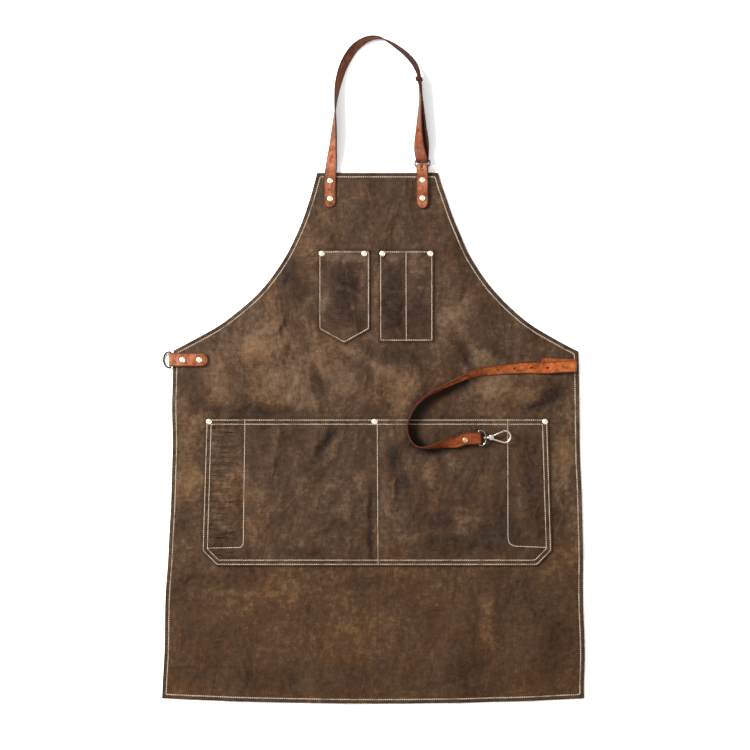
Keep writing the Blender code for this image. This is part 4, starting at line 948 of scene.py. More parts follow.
# What makes each finish, and what makes it differ from others of its kind
FINISHES = {
    "waxed_canvas": (canvas_finish, 0.515, 0.0),
    "pocket_waxed_canvas": (canvas_finish, 0.447, 0.35),
    "strap_leather": (leather_finish, 0.40, (0.71, 0.60, 0.47), 0.10),
    "waist_leather": (leather_finish, 0.46, (1.18, 0.90, 0.50), 0.06),
    "tab_leather": (leather_finish, 0.50, (0.98, 0.98, 0.98), 0.62),
    "nickel_plate": (metal_finish, (0.50, 0.46, 0.41), (0.15, 0.13, 0.11), 0.26, 0.5),
    # Dark plate of the buckle and its prong: its darkness is painted shade of the leather folded over them
    "gunmetal_plate": (metal_finish, (0.060, 0.057, 0.053), (0.020, 0.019, 0.018), 0.30, 0.6, 0.7),
    "eye_plate": (metal_finish, (0.20, 0.19, 0.17), (0.04, 0.037, 0.033), 0.26, 0.9),
    "dark_plate": (metal_finish, (0.007, 0.006, 0.005), (0.003, 0.003, 0.003), 0.58, 0.6, 0.0),
    "pale_cap": (metal_finish, (0.72, 0.66, 0.50), (0.36, 0.30, 0.20), 0.42, 0.6),
    "brass_cap": (metal_finish, (0.50, 0.34, 0.15), (0.20, 0.12, 0.05), 0.28, 0.5),
    "seam_thread": (thread_finish, 0.66),
    "hem_thread": (thread_finish, 0.52),
    "paper": (paper_finish,),
}


def made_of(name):
    """The material of that name, made the first time that a piece asks for it."""
    make, *looks = FINISHES[name]
    return bpy.data.materials.get(name) or make(name, *looks)


# Pieces

def rounded(bm, edges, offset, clamp):
    """Rounds those edges over, with three faces across each."""
    bmesh.ops.bevel(
        bm, geom=edges, offset=offset, offset_type="OFFSET", segments=3, profile=0.5,
        affect="EDGES", clamp_overlap=clamp, material=-1,
    )


def linked(name, data):
    """An object of that data, in the scene."""
    obj = bpy.data.objects.new(name, data)
    bpy.context.scene.collection.objects.link(obj)
    return obj


def blank(name, bm):
    """A plain object of that shape."""
    mesh = bpy.data.meshes.new(name)
    bm.to_mesh(mesh)
    bm.free()
    return linked(name, mesh)


def finished(name, bm, finish, nodes=(), body="apron", angle=50.0):
    """Makes the mesh a piece that stands for those nodes, or only rides on the body."""
    obj = blank(name, bm)
    obj.data.shade_smooth()
    obj.data.set_sharp_from_angle(angle=math.radians(angle))
    obj.data.materials.append(made_of(finish))
    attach(obj, body)
    if nodes:
        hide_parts(*nodes)
    return obj


def ease(share):
    share = min(1.0, max(0.0, share))
    return share * share * (3 - 2 * share)


# Cloth

def body_edge(side, y):
    """X of the body's straight side edge at y, between the hem and the waist."""
    share = (y - HEM_Y) / SKIRT_LENGTH
    hem = side * HEM_WIDTH / 2
    waist = WAIST_SHIFT + side * WAIST_WIDTH / 2
    return hem + (waist - hem) * share


def armhole(side):
    """Points from the chest's corner down to the waist's corner, both included."""
    top = Vector((CHEST_SHIFT + side * CHEST_WIDTH / 2, CHEST_Y))
    waist = Vector((WAIST_SHIFT + side * WAIST_WIDTH / 2, WAIST_Y))
    span = waist - top
    shares = (ARMHOLE_TOP_HANDLE, ARMHOLE_WAIST_HANDLE)
    handles = [Vector((top.x + span.x * across, top.y + span.y * down)) for across, down in shares]
    points = []
    for i in range(ARMHOLE_STEPS + 1):
        t = i / ARMHOLE_STEPS
        s = 1 - t
        points.append(top * s**3 + handles[0] * (3 * t * s * s) + handles[1] * (3 * t * t * s) + waist * t**3)
    return points


def body_outline():
    points = []
    for i in range(HEM_STEPS + 1):
        share = 2 * i / HEM_STEPS - 1
        points.append(Vector((share * HEM_WIDTH / 2, HEM_Y + HEM_SAG * share * share)))
    rows = [HEM_Y + HEM_SAG + (SKIRT_LENGTH - HEM_SAG) * i / SIDE_STEPS for i in range(1, SIDE_STEPS)]
    points += [Vector((body_edge(1, y), y)) for y in rows]
    points += reversed(armhole(1))
    points += armhole(-1)
    return points + [Vector((body_edge(-1, y), y)) for y in reversed(rows)]


def strayed(points):
    """The outline as it lies, each point moved by the rows of STRAYS next to it."""
    laid = []
    for point in points:
        y = min(max(point.y * 1000, STRAYS[0].y), STRAYS[-1].y)
        i = max(i for i, row in enumerate(STRAYS[:-1]) if row.y <= y)
        below, above = STRAYS[i], STRAYS[i + 1]
        share = ease((y - below.y) / (above.y - below.y))
        mixed = [a + (b - a) * share for a, b in zip(below, above)]
        x, up = mixed[1:3] if point.x < 0 else mixed[3:5]
        near_side = min(1.0, abs(point.x) / 0.08)
        laid.append(Vector((point.x + x / 1000 * near_side, point.y + up / 1000)))
    return laid


class Edge:
    """The cut edge of a sheet, for finding how far a place is from it and how far along it."""

    STEP = 0.001

    def __init__(self, outline):
        rows = []
        along = 0.0
        for near, far in zip(outline, outline[1:] + outline[:1]):
            span = (far - near).length
            steps = max(1, round(span / self.STEP))
            rows += [(near.lerp(far, i / steps), along + span * i / steps) for i in range(steps)]
            along += span
        self.tree = kdtree.KDTree(len(rows))
        for i, (point, distance) in enumerate(rows):
            self.tree.insert((point.x, point.y, 0.0), i)
        self.tree.balance()
        self.along = [distance for point, distance in rows]

    def away(self, x, y):
        return self.tree.find((x, y, 0.0))[2]

    def at(self, x, y):
        """How far a place is from the edge, and how far along it."""
        i, away = self.tree.find((x, y, 0.0))[1:]
        return away, self.along[i]


def swung(x, y, degrees):
    """A step as it is along and across a line at that angle."""
    angle = math.radians(degrees)
    return x * math.cos(angle) + y * math.sin(angle), y * math.cos(angle) - x * math.sin(angle)


def fold_height(x, y):
    total = 0.0
    for fold in FOLDS:
        dx = x - fold.across * HEM_WIDTH / 2
        dy = y - (HEM_Y + fold.up * BODY_LENGTH)
        run, aside = swung(dx, dy, fold.angle)
        run /= fold.length * BODY_LENGTH / 2
        aside /= fold.width * BODY_LENGTH / 2
        if abs(run) < 1 and abs(aside) < 1:
            shape = math.cos(run * math.pi / 2) * math.cos(aside * math.pi / 2)
            total += fold.height * FOLD_HEIGHT * shape * shape
    return total


def crease_height(x, y, creases):
    """Height of the narrow folds at a place, each wandering a little and fading towards its ends."""
    total = 0.0
    for crease in creases:
        start = Vector((crease.x1, crease.y1)) / 1000
        span = Vector((crease.x2, crease.y2)) / 1000 - start
        length = span.length
        ahead = span / length
        from_start = Vector((x, y)) - start
        run = from_start.dot(ahead)
        if not -0.2 * length < run < 1.2 * length:
            continue
        wander = 0.30 * crease.width * noise.noise(Vector((run * 26, crease.x1, crease.y1)))
        aside = from_start.cross(ahead) * 1000 + wander
        if abs(aside) > 2.5 * crease.width:
            continue
        fade = ease((run / length + 0.2) / 0.45) * ease((1.2 - run / length) / 0.45)
        place = aside / (0.5 * crease.width)
        ridge = math.exp(-(place**2)) - 0.55 * math.exp(-2.4 * (place - 1.2) ** 2)
        total += crease.height / 1000 * fade * ridge
    return total


def small_wrinkles(x, y):
    """The lie of handled canvas: soft waves with sharper ridges, from about -1 to 1."""
    spot = Vector((x * 17, y * 15, 0.3))
    wave = noise.fractal(spot, 0.9, 2.1, 4)
    ridge = 1 - 2 * abs(noise.noise(Vector((x * 34 + 2.2 * wave, y * 30 + 7.0, 1.7))))
    return max(-1.0, min(1.0, 0.95 * wave + 0.35 * (ridge - 0.55)))


def calm_zones():
    """Rectangles (left, low, right, high) in which the body lies flat, under pockets, tabs and straps."""
    right = body_edge(1, WAIST_Y)
    left = body_edge(-1, WAIST_Y)
    loop = right - WAIST_REACH * WAIST_LOOP_START
    pockets = (
        (POINTED_X, POINTED_WIDTH, CHEST_POCKET_TOP, POINTED_DEPTH),
        (DIVIDED_X, DIVIDED_WIDTH, CHEST_POCKET_TOP, DIVIDED_DEPTH),
        (LOWER_OFFSET, LOWER_FOOT_WIDTH, LOWER_TOP, LOWER_DEPTH),
    )
    return (
        *((x - width / 2, top - depth, x + width / 2, top) for x, width, top, depth in pockets),
        (CHEST_LEFT, CHEST_Y - BUCKLE_TAB_LENGTH, CHEST_LEFT + CHEST_WIDTH, CHEST_Y),
        (left, WAIST_Y - RING_TAB_DROP - RING_TAB_WIDTH / 2, left + RING_TAB_LENGTH, WAIST_Y),
        (loop - STRAP_WIDTH, WAIST_STRAP_Y - STRAP_WIDTH, right, WAIST_Y),
        (
            right - WAIST_REACH - STRAP_WIDTH, WAIST_STRAP_Y - WAIST_FALL,
            loop + STRAP_WIDTH, WAIST_STRAP_Y,
        ),
    )


def calmness(x, y, zones, reach):
    """0 inside a flat zone, rising to 1 where the cloth is free to fold."""
    factor = 1.0
    for left, low, right, high in zones:
        aside = max(left - x, x - right, 0.0)
        above = max(low - y, y - high, 0.0)
        factor = min(factor, ease(math.hypot(aside, above) / reach))
    return factor


def pucker(along, away, depth):
    """Ropy puckers that lean across a seam, fading out at twice its distance from the edge."""
    lean = along + 0.9 * away
    coarse = noise.noise(Vector((lean * 150, away * 40, 4.0)))
    fine = noise.noise(Vector((lean * 310, 0.0, 9.0)))
    return (coarse + 0.6 * fine) * ease(1.6 - away / depth)


def groove(away, inset):
    """The line that a seam pulls into the cloth, 1 along its middle."""
    return math.exp(-(((away - inset) / SEAM_PULL) ** 2))


# Painted shadow of the waist strap's loop, darkest along its line
def loop_shadow(line, x, y):
    return LOOP_SHADOW_DEPTH * math.exp(-((line.away(x, y) / LOOP_SHADOW_WIDTH) ** 2))


class Cloth:
    """One sheet of the apron: its outline, and the heights of its faces at each place."""

    def __init__(self, outline):
        self.outline = [Vector(point) for point in outline]
        self.edge = Edge(self.outline)

    def rounding(self, away):
        """How far the upper face falls at the rim of the sheet."""
        if away >= RIM_ROUNDING:
            return 0.0
        return RIM_ROUNDING - math.sqrt(max(0.0, RIM_ROUNDING**2 - (RIM_ROUNDING - away) ** 2))


class Body(Cloth):
    def __init__(self):
        super().__init__(strayed(body_outline()))
        self.zones = calm_zones()
        # Edges of the pockets, for the painted shadow beside them
        self.pockets = [Edge(outline) for outline in (pointed_outline(), divided_outline(), lower_outline())]
        # Line along which the strap loop's shadow is painted
        self.strap = loop_shadow_line()

    def tone(self, x, y):
        """Paint of the canvas: patches, wear and painted light on wrinkles and creases, and painted shadow
        beside the pockets and beside the strap's loop.
        """
        # Wear and painted highlight on the ridges of wrinkles and creases, painted shade in their hollows
        worn = WRINKLE_WEAR_AND_LIGHT * small_wrinkles(x, y) + CREASE_WEAR_AND_LIGHT * crease_height(x, y, BODY_CREASES)
        # Painted shadow that the pockets would cast on the canvas, to their right and below
        aways = [pocket.away(x - POCKET_SHADOW_ASIDE[0], y - POCKET_SHADOW_ASIDE[1]) for pocket in self.pockets]
        darkness = POCKET_SHADOW_DEPTH * min(1.0, sum(math.exp(-((away / POCKET_SHADOW_WIDTH) ** 2)) for away in aways))
        even = 0.5 + 0.5 * ease((y + 0.35) / 0.10)
        # Painted shadow of the waist strap's loop
        darkened = loop_shadow(self.strap, x, y)
        return painted_tone(x, y, BODY_PATCHES) * even + worn - darkness - darkened

    def gather(self, x, y):
        return 0.35 * ease((0.016 - self.edge.away(x, y)) / 0.010)

    def upper(self, x, y):
        away, along = self.edge.at(x, y)
        calm = calmness(x, y, self.zones, CALM_REACH)
        small = small_wrinkles(x, y)
        lift = (fold_height(x, y) + crease_height(x, y, BODY_CREASES)) * calm
        lift += sizes().wrinkle * (small * calm - 0.45 * abs(small) * (1 - calm))
        lift += sizes().pucker * pucker(along, away, SEAM_INSET) * (0.35 + 0.65 * calm)
        lift = max(lift, -0.0008) - 0.0004 * groove(away, SEAM_INSET)
        return CANVAS_TOP + lift - self.rounding(away)

    def under(self, x, y):
        away = self.edge.away(x, y)
        turned = away < HEM_TURN + 0.0001
        wall = CANVAS + (HEM_FOLD if turned else 0.0)
        height = self.upper(x, y) + 2 * self.rounding(away) - wall
        return max(0.0 if turned else 0.0002, height)


class Pocket(Cloth):
    """A patch pocket. Rooms are where it stands off the body, still where the strap's end lies on it."""

    def __init__(self, outline, rooms, top, depth, creases, patches, seams, still=()):
        super().__init__(outline)
        self.top = top
        self.foot = top - depth
        self.rooms = rooms
        self.creases = creases
        self.patches = patches
        self.seams = seams
        self.still = still
        # Line along which the strap loop's shadow is painted
        self.strap = loop_shadow_line() if still else None
        xs = [point.x for point in self.outline]
        self.left, self.right = min(xs), max(xs)

    def tone(self, x, y):
        """Paint of the canvas: patches, wear and painted light on wrinkles and creases, and painted shadow
        beside the strap's loop.
        """
        # Wear and painted highlight on the ridges of wrinkles and creases, painted shade in their hollows
        worn = WRINKLE_WEAR_AND_LIGHT * self.wrinkles(x, y) + CREASE_WEAR_AND_LIGHT * crease_height(x, y, self.creases)
        # Painted shadow of the waist strap's loop
        darkened = loop_shadow(self.strap, x, y) if self.still else 0.0
        return painted_tone(x, y, self.patches) + worn - darkened

    def wrinkles(self, x, y):
        """Wrinkles that differ from the body's under them."""
        return small_wrinkles(x + 0.4, y - 0.3)

    def gather(self, x, y):
        """How far the cloth is drawn into pleats across the pocket, as beside the first slot's seam."""
        slot = ease((x - self.left - 0.004) / 0.006) * ease((self.left + 0.067 - x) / 0.030)
        return slot if self.right - self.left > 0.3 else 0.25

    def open_room(self, x, y):
        """0 at the seams to 1 in the middle of a room."""
        width = self.right - self.left
        depth = self.top - self.foot
        most = 0.0
        for room in self.rooms:
            start, end = self.left + room.left * width, self.left + room.right * width
            floor = self.top - room.floor * depth
            ceiling = self.top - room.ceiling * depth if room.ceiling else self.top + 0.05
            slope = min(ROOM_SLOPE, ROOM_SLOPE_SHARE * (end - start))
            inside = min(x - start, end - x, y - floor, ceiling - y) / slope
            most = max(most, ease(inside))
        return most

    def upper(self, x, y):
        away, along = self.edge.at(x, y)
        calm = calmness(x, y, self.still, POCKET_CALM_REACH)
        room = self.open_room(x, y)
        small = self.wrinkles(x, y)
        lift = ROOM_RISE * LAID_SHARE * room * (0.75 + 0.35 * small) * calm
        lift += (crease_height(x, y, self.creases) + 0.0006 * small) * calm * (0.25 + 0.75 * room)
        lift = max(lift, 0.0) + sizes().pucker * 0.6 * pucker(along, away, 0.004) * calm
        lift = min(max(lift, -0.0001), ROOM_RISE)
        for inset in self.seams:
            lift -= 0.0003 * groove(away, inset)
        return POCKET_TOP + lift - self.rounding(away)

    def under(self, x, y):
        height = self.upper(x, y) + 2 * self.rounding(self.edge.away(x, y)) - CANVAS
        return max(CANVAS_TOP + GAP / 2, height)


def painted_tone(x, y, patches):
    """Sum of the patches at a place, wax and painted light, their edges drawn in and out by noise."""
    spot = Vector((x * PATCH_GRAIN, y * PATCH_GRAIN, 5.0))
    x += PATCH_STRAY * noise.fractal(spot, 0.7, 2.3, 4)
    y += PATCH_STRAY * noise.fractal(spot + Vector((9.0, 4.0, 2.0)), 0.7, 2.3, 4)
    total = 0.0
    for patch in patches:
        dx, dy = x * 1000 - patch.x, y * 1000 - patch.y
        if max(abs(dx), abs(dy)) > 2.0 * max(patch.wide, patch.tall):
            continue
        run, aside = swung(dx, dy, patch.angle)
        run /= patch.wide
        aside /= patch.tall
        total += patch.tone * math.exp(-0.8 * (run * run + aside * aside) ** 2.0)
    return PATCH_LIMIT * math.tanh(total / PATCH_LIMIT)


def extruded(bm):
    """Gives a flat sheet its walls and its second face, and returns that face's points."""
    made = bmesh.ops.extrude_face_region(bm, geom=bm.faces[:] + bm.edges[:])
    return points_of(made)


def points_of(made):
    return [part for part in made["geom"] if isinstance(part, bmesh.types.BMVert)]


def cut_line(bm, point, normal):
    parts = bm.verts[:] + bm.edges[:] + bm.faces[:]
    bmesh.ops.bisect_plane(bm, geom=parts, plane_co=(*point, 0.0), plane_no=(*normal, 0.0), dist=2e-5)


def inset_sheet(outline, insets):
    """A flat sheet with rows of cells along its edge, and the face that is left inside them."""
    bm = bmesh.new()
    sheet = bm.faces.new([bm.verts.new((point.x, point.y, 0.0)) for point in outline])
    sheet.normal_update()
    done = 0.0
    for inset in insets:
        bmesh.ops.inset_individual(bm, faces=[sheet], thickness=inset - done, use_even_offset=True)
        done = inset
    return bm, sheet


def inset_outline(outline, inset):
    """The outline moved inwards."""
    bm, sheet = inset_sheet(outline, (inset,))
    points = [Vector(vert.co.xy) for vert in sheet.verts]
    bm.free()
    return points


def cut_sheet(outline, insets, pitch, columns=()):
    """A flat sheet with rows of cells along its edge and square cells inside."""
    bm = inset_sheet(outline, insets)[0]
    xs = [point.x for point in outline]
    ys = [point.y for point in outline]
    for x in columns:
        cut_line(bm, (x, 0.0), (1.0, 0.0))
    for column in range(math.ceil(min(xs) / pitch), math.ceil(max(xs) / pitch)):
        cut_line(bm, (column * pitch, 0.0), (1.0, 0.0))
    for row in range(math.ceil(min(ys) / pitch), math.ceil(max(ys) / pitch)):
        cut_line(bm, (0.0, row * pitch), (0.0, 1.0))
    return bm


def laid_sheet(bm, cloth):
    """Gives the flat sheet its wall, and lays both its faces at their heights."""
    tone, hem, gather = [bm.verts.layers.float.new(name) for name in ("tone", "hem", "gather")]
    upper = set(extruded(bm))
    bmesh.ops.recalc_face_normals(bm, faces=bm.faces[:])
    for vert in bm.verts:
        x, y = vert.co.x, vert.co.y
        vert.co.z = cloth.upper(x, y) if vert in upper else cloth.under(x, y)
        vert[tone] = cloth.tone(x, y)
        vert[gather] = cloth.gather(x, y)
        away = cloth.edge.away(x, y)
        vert[hem] = 1.0 if away < HEM_EDGE else 0.5 * ease((HEM_BAND - away) / HEM_BAND_FADE)
    bm.normal_update()
    if sum(face.normal.z for face in bm.faces if upper.issuperset(face.verts)) < 0:
        bmesh.ops.reverse_faces(bm, faces=bm.faces[:])
    return bm


def stitch_row(bm, path, cloth, thick, closed=False):
    """Lays stitches end to end along a path of points on the cloth."""
    points = [Vector(point) for point in path]
    if closed:
        points.append(points[0])
    lengths = lengths_along(points)
    count = max(1, round(lengths[-1] / sizes().stitch_pitch))
    pitch = lengths[-1] / count
    half = 0.5 * sizes().stitch_length * pitch / sizes().stitch_pitch

    def spot(distance):
        distance = min(max(distance, 0.0), lengths[-1])
        i = min(bisect_right(lengths, distance), len(points) - 1)
        share = (distance - lengths[i - 1]) / (lengths[i] - lengths[i - 1])
        flat = points[i - 1].lerp(points[i], share)
        return Vector((flat.x, flat.y, cloth.upper(flat.x, flat.y)))

    stitch = bmesh.new()
    bmesh.ops.create_uvsphere(
        stitch, u_segments=5, v_segments=7, radius=1.0, matrix=Matrix.Rotation(math.pi / 2, 4, "Y")
    )
    for i in range(count):
        middle = (i + 0.5) * pitch
        slack = 0.0003 * noise.noise(Vector((i * 0.7, points[0].x * 90, points[0].y * 90)))
        start, end = spot(middle - half), spot(middle + half)
        ahead = end - start
        turn = ahead.to_track_quat("X", "Z").to_matrix().to_4x4()
        wide = thick * (1 + 0.12 * noise.noise(Vector((i * 1.3, 2.0, points[0].x * 50))))
        size = Matrix.Diagonal((ahead.length / 2, wide / 2, wide * 0.36, 1.0))
        seat = (start + end) / 2 + Vector((0, 0, wide * 0.22)) + turn.to_3x3().col[1] * slack
        place = Matrix.Translation(seat) @ turn @ size
        verts = [bm.verts.new(place @ vert.co) for vert in stitch.verts]
        for face in stitch.faces:
            bm.faces.new([verts[vert.index] for vert in face.verts])
    stitch.free()


def loop_shadow_line():
    """Line beside the waist strap's loop along which its shadow is painted on the canvas."""
    run = waist_stations()[1]
    first, last = [round(share * len(run)) for share in LOOP_SHADOW_RUN]
    path = [station.centre.xy + Vector(LOOP_SHADOW_ASIDE) for station in run[first:last]]
    return Edge(path + path[-2:0:-1])


def points_at(*rows):
    return [Vector(row) for row in rows]


def pointed_outline():
    left, right = POINTED_X - POINTED_WIDTH / 2, POINTED_X + POINTED_WIDTH / 2
    top, foot = CHEST_POCKET_TOP, CHEST_POCKET_TOP - POINTED_DEPTH
    side = foot + POINTED_TIP
    return points_at((left, top), (left, side), (POINTED_X, foot), (right, side), (right, top))


def divided_outline():
    left, right = DIVIDED_X - DIVIDED_WIDTH / 2, DIVIDED_X + DIVIDED_WIDTH / 2
    top, foot = CHEST_POCKET_TOP, CHEST_POCKET_TOP - DIVIDED_DEPTH
    return points_at((left, top), (left, foot), (right, foot), (right, top))


def lower_outline():
    middle, top, foot = LOWER_OFFSET, LOWER_TOP, LOWER_TOP - LOWER_DEPTH
    top_half, foot_half = LOWER_TOP_WIDTH / 2, LOWER_FOOT_WIDTH / 2
    return points_at(
        (middle - top_half, top), (middle - foot_half, foot + LOWER_CHAMFER),
        (middle - foot_half + LOWER_CHAMFER, foot), (middle + foot_half - LOWER_CHAMFER, foot),
        (middle + foot_half, foot + LOWER_CHAMFER), (middle + top_half, top),
    )


def strap_shadow():
    """Rectangle of the lower pocket that the strap's end and the hook lie on."""
    right = body_edge(1, WAIST_Y)
    left = right - WAIST_REACH - STRAP_WIDTH / 2
    return (left, WAIST_STRAP_Y - WAIST_FALL - 0.004, right - 0.09, WAIST_STRAP_Y)


def chest_cloth(outline, rooms, depth, patches):
    return Pocket(outline, rooms, CHEST_POCKET_TOP, depth, CHEST_CREASES, patches, (POCKET_SEAM,))


def lower_cloth():
    return Pocket(
        lower_outline(), LOWER_ROOMS, LOWER_TOP, LOWER_DEPTH,
        LOWER_CREASES, LOWER_PATCHES, (POCKET_SEAM, LOWER_SEAM), (strap_shadow(),),
    )


def slot_path(side):
    """Seam of a side slot of the lower pocket, down from the mouth and round to the pocket's edge."""
    mouth = LOWER_TOP - 0.001
    if side < 0:
        return points_at((-0.1974, mouth), (-0.2000, -0.2690), (-0.2040, -0.2745), (-0.2560, -0.2755))
    return points_at(
        (0.2079, mouth), (0.2082, -0.2610), (0.2110, -0.2695), (0.2190, -0.2725), (0.2690, -0.2745)
    )


def centre_path():
    return points_at((0.0066, LOWER_TOP - 0.001), (0.0078, LOWER_TOP - LOWER_DEPTH + 0.001))


def divider_path():
    foot = CHEST_POCKET_TOP - DIVIDED_DEPTH
    return points_at((DIVIDED_X - 0.0005, CHEST_POCKET_TOP - 0.001), (DIVIDED_X, foot + 0.001))


# Leather

def smooth(rows, steps):
    """Points of a smooth line through the rows, each a vector of x, y, z and roll."""
    ends = [2 * rows[0] - rows[1], *rows, 2 * rows[-1] - rows[-2]]
    points = []
    for a, b, c, d in zip(ends, ends[1:], ends[2:], ends[3:]):
        for i in range(steps):
            t = i / steps
            bend = (2 * a - 5 * b + 4 * c - d) * t * t + (3 * b - a - 3 * c + d) * t**3
            points.append((2 * b + (c - a) * t + bend) / 2)
    points.append(rows[-1])
    return points


def rest_height(roll, bed, lift):
    """Height of a strap's middle line when it lies on a bed at this roll."""
    angle = math.radians(roll)
    standing = HALF_STRAP * abs(math.sin(angle)) + STRAP_THICK / 2 * abs(math.cos(angle))
    return BED_HEIGHTS[bed] + GAP + standing + lift * STRAP_WIDTH


def rolled(points):
    """Stations along a line, the width turned by each point's roll about the line."""
    stations = []
    last = len(points) - 1
    for i, point in enumerate(points):
        ahead = points[min(i + 1, last)] - points[max(i - 1, 0)]
        heading = Vector((ahead.x, ahead.y, 0)).normalized()
        right = Vector((heading.y, -heading.x, 0))
        roll = math.radians(point.w)
        across = right * math.cos(roll) + Vector((0, 0, math.sin(roll)))
        stations.append(Station(point.xyz, across, HALF_STRAP))
    return stations


def half_turn(middle, radius, start, out, across, half):
    """Stations of a fold from start, round through out, to the side opposite start."""
    angles = [math.pi * i / FOLD_STEPS for i in range(FOLD_STEPS + 1)]
    spots = [middle + radius * (start * math.cos(angle) + out * math.sin(angle)) for angle in angles]
    return [Station(spot, across, half) for spot in spots]


def round_end(centre, across, outward, half):
    """Stations from a strap's full width to its rounded tip."""
    angles = [math.radians(degrees) for degrees in (0, 14, 27, 39, 50, 60, 69, 77, 83)]
    return [
        Station(centre + outward * half * math.sin(angle), across, half * math.cos(angle)) for angle in angles
    ]


def lengths_along(points):
    along = [0.0]
    for near, far in zip(points, points[1:]):
        along.append(along[-1] + (far - near).length)
    return along


def distances(stations):
    return lengths_along([station.centre for station in stations])


def pegs(holes):
    """Round pegs for the holes of a strap."""
    bm = bmesh.new()
    for x, y in holes:
        bmesh.ops.create_cone(
            bm, cap_ends=True, segments=20, radius1=HOLE_RADIUS, radius2=HOLE_RADIUS, depth=0.02,
            matrix=Matrix.Translation((x, y, 0.0)),
        )
    return bm


def bar(start, end, half):
    """A square bar for the slot from one distance along a strap to another."""
    bm = bmesh.new()
    size = Matrix.Diagonal((end - start, 2 * half, 0.02, 1.0))
    bmesh.ops.create_cube(bm, size=1.0, matrix=Matrix.Translation(((start + end) / 2, 0, 0)) @ size)
    return bm


def evaluated(obj):
    """The shape of an object after its modifiers or bevel. The object itself is discarded."""
    mesh = bpy.data.meshes.new_from_object(obj.evaluated_get(bpy.context.evaluated_depsgraph_get()))
    bm = bmesh.new()
    bm.from_mesh(mesh)
    bpy.data.meshes.remove(mesh)
    discard(obj)
    return bm


def discard(obj):
    data = obj.data
    bpy.data.objects.remove(obj)
    kept_in = bpy.data.curves if isinstance(data, bpy.types.Curve) else bpy.data.meshes
    kept_in.remove(data)


def punched(bm, tool):
    """The flat strap with the tool's shape cut through it."""
    strip, punch = blank("strap_blank", bm), blank("strap_punch", tool)
    cut = strip.modifiers.new("holes", "BOOLEAN")
    cut.operation = "DIFFERENCE"
    cut.solver = "EXACT"
    cut.object = punch
    made = evaluated(strip)
    discard(punch)
    return made


def flat_strip(stations, along, thick):
    """The strap cut and laid out flat, its rim rubbed round."""
    bm = bmesh.new()
    columns = len(stations) - 1
    bmesh.ops.create_grid(bm, x_segments=columns, y_segments=STRAP_ROWS, size=0.5)
    for vert in bm.verts:
        i = round((vert.co.x + 0.5) * columns)
        vert.co = (along[i], vert.co.y * 2 * stations[i].half, -thick / 2)
    bmesh.ops.translate(bm, verts=extruded(bm), vec=(0, 0, thick))
    bmesh.ops.recalc_face_normals(bm, faces=bm.faces[:])
    sharp = [edge for edge in bm.edges if edge.calc_face_angle(0.0) > 1.0]
    rim = [edge for edge in sharp if abs(edge.verts[0].co.z - edge.verts[1].co.z) < 1e-5]
    rounded(bm, rim, sizes().strap_edge, False)
    return bm


def strap(stations, thick, holes=(), slots=(), caps=(), flesh=0.0, shade_spans=()):
    """A leather strip with rubbed edges, worked flat and then bent along its route.
    Holes and caps are (distance along, place across); slots are (start, end, half width).
    Flesh is how rough the back is, and its sign is the side that the back is on.
    Shade spans are (start, end, depth) of the lengths given painted shade; where the depth is below 0
    the length is made paler instead."""
    along = distances(stations)
    bm = flat_strip(stations, along, thick)
    if holes:
        bm = punched(bm, pegs(holes))
    for slot in slots:
        bm = punched(bm, bar(*slot))
    uv = bm.loops.layers.uv.new("strap")
    edge, back, aged = [bm.verts.layers.float.new(name) for name in ("edge", "back", "aged")]
    for face in bm.faces:
        for loop in face.loops:
            loop[uv].uv = (loop.vert.co.x, loop.vert.co.y)
    centres = [station.centre for station in stations]
    faces = []
    for i, station in enumerate(stations):
        before = centres[max(i - 1, 0)]
        after = centres[min(i + 1, len(centres) - 1)]
        faces.append(station.across.cross(after - before).normalized())
    for vert in bm.verts:
        x, y, z = vert.co
        i = min(max(bisect_right(along, x) - 1, 0), len(along) - 2)
        share = min(1.0, max(0.0, (x - along[i]) / (along[i + 1] - along[i])))
        half = stations[i].half + (stations[i + 1].half - stations[i].half) * share
        across = stations[i].across.lerp(stations[i + 1].across, share).normalized()
        face = faces[i].lerp(faces[i + 1], share).normalized()
        darkened = ease((abs(y) - half + EDGE_RUB) / EDGE_RUB_FADE)
        # Painted shade in a ring round each rivet cap, kept with the rubbed edges
        for cap_x, cap_y in caps:
            ring = abs(math.hypot(x - cap_x, y - cap_y) - CAP_RADIUS - CAP_SHADE_OUT)
            darkened = max(darkened, 0.8 * ease(1 - ring / CAP_SHADE_WIDTH))
        vert[edge] = darkened
        vert[back] = abs(flesh) if z * flesh > 0 else 0.0
        # Painted shade on the given lengths, or paler where the depth is below 0
        for first, last, depth in shade_spans:
            level = depth * ease((x - first) / SHADE_FADE) * ease((last - x) / SHADE_FADE)
            if abs(level) > abs(vert[aged]):
                vert[aged] = level
        vert.co = centres[i].lerp(centres[i + 1], share) + across * y + face * z
    return bm


def rivets_of(name):
    """The rivets whose names start so, in their order."""
    return [rivet for rivet in all_rivets() if rivet.name.startswith(name)]


def buckle_place():
    """Frame of the neck buckle: its lower bar along X, its upper bar towards +Y."""
    x = CHEST_LEFT + BUCKLE_ALONG * CHEST_WIDTH
    place = Matrix.Translation((x, CHEST_Y + BUCKLE_ABOVE_EDGE, BUCKLE_HEIGHT))
    return place @ Matrix.Rotation(-math.radians(BUCKLE_TILT), 4, "Y")


def ring_place():
    """Frame of the D ring's bar: along world Y, with the ring towards local +Y, which is -X."""
    bar_radius = RING_WIRE / 2 + GAP + TAB_THICK / 2
    y = WAIST_Y - RING_TAB_DROP
    x = body_edge(-1, y) - RING_OVERHANG
    z = CANVAS_TOP + GAP + TAB_THICK / 2 + bar_radius
    return Matrix.Translation((x, y, z)) @ Matrix.Rotation(math.radians(90), 4, "Z")


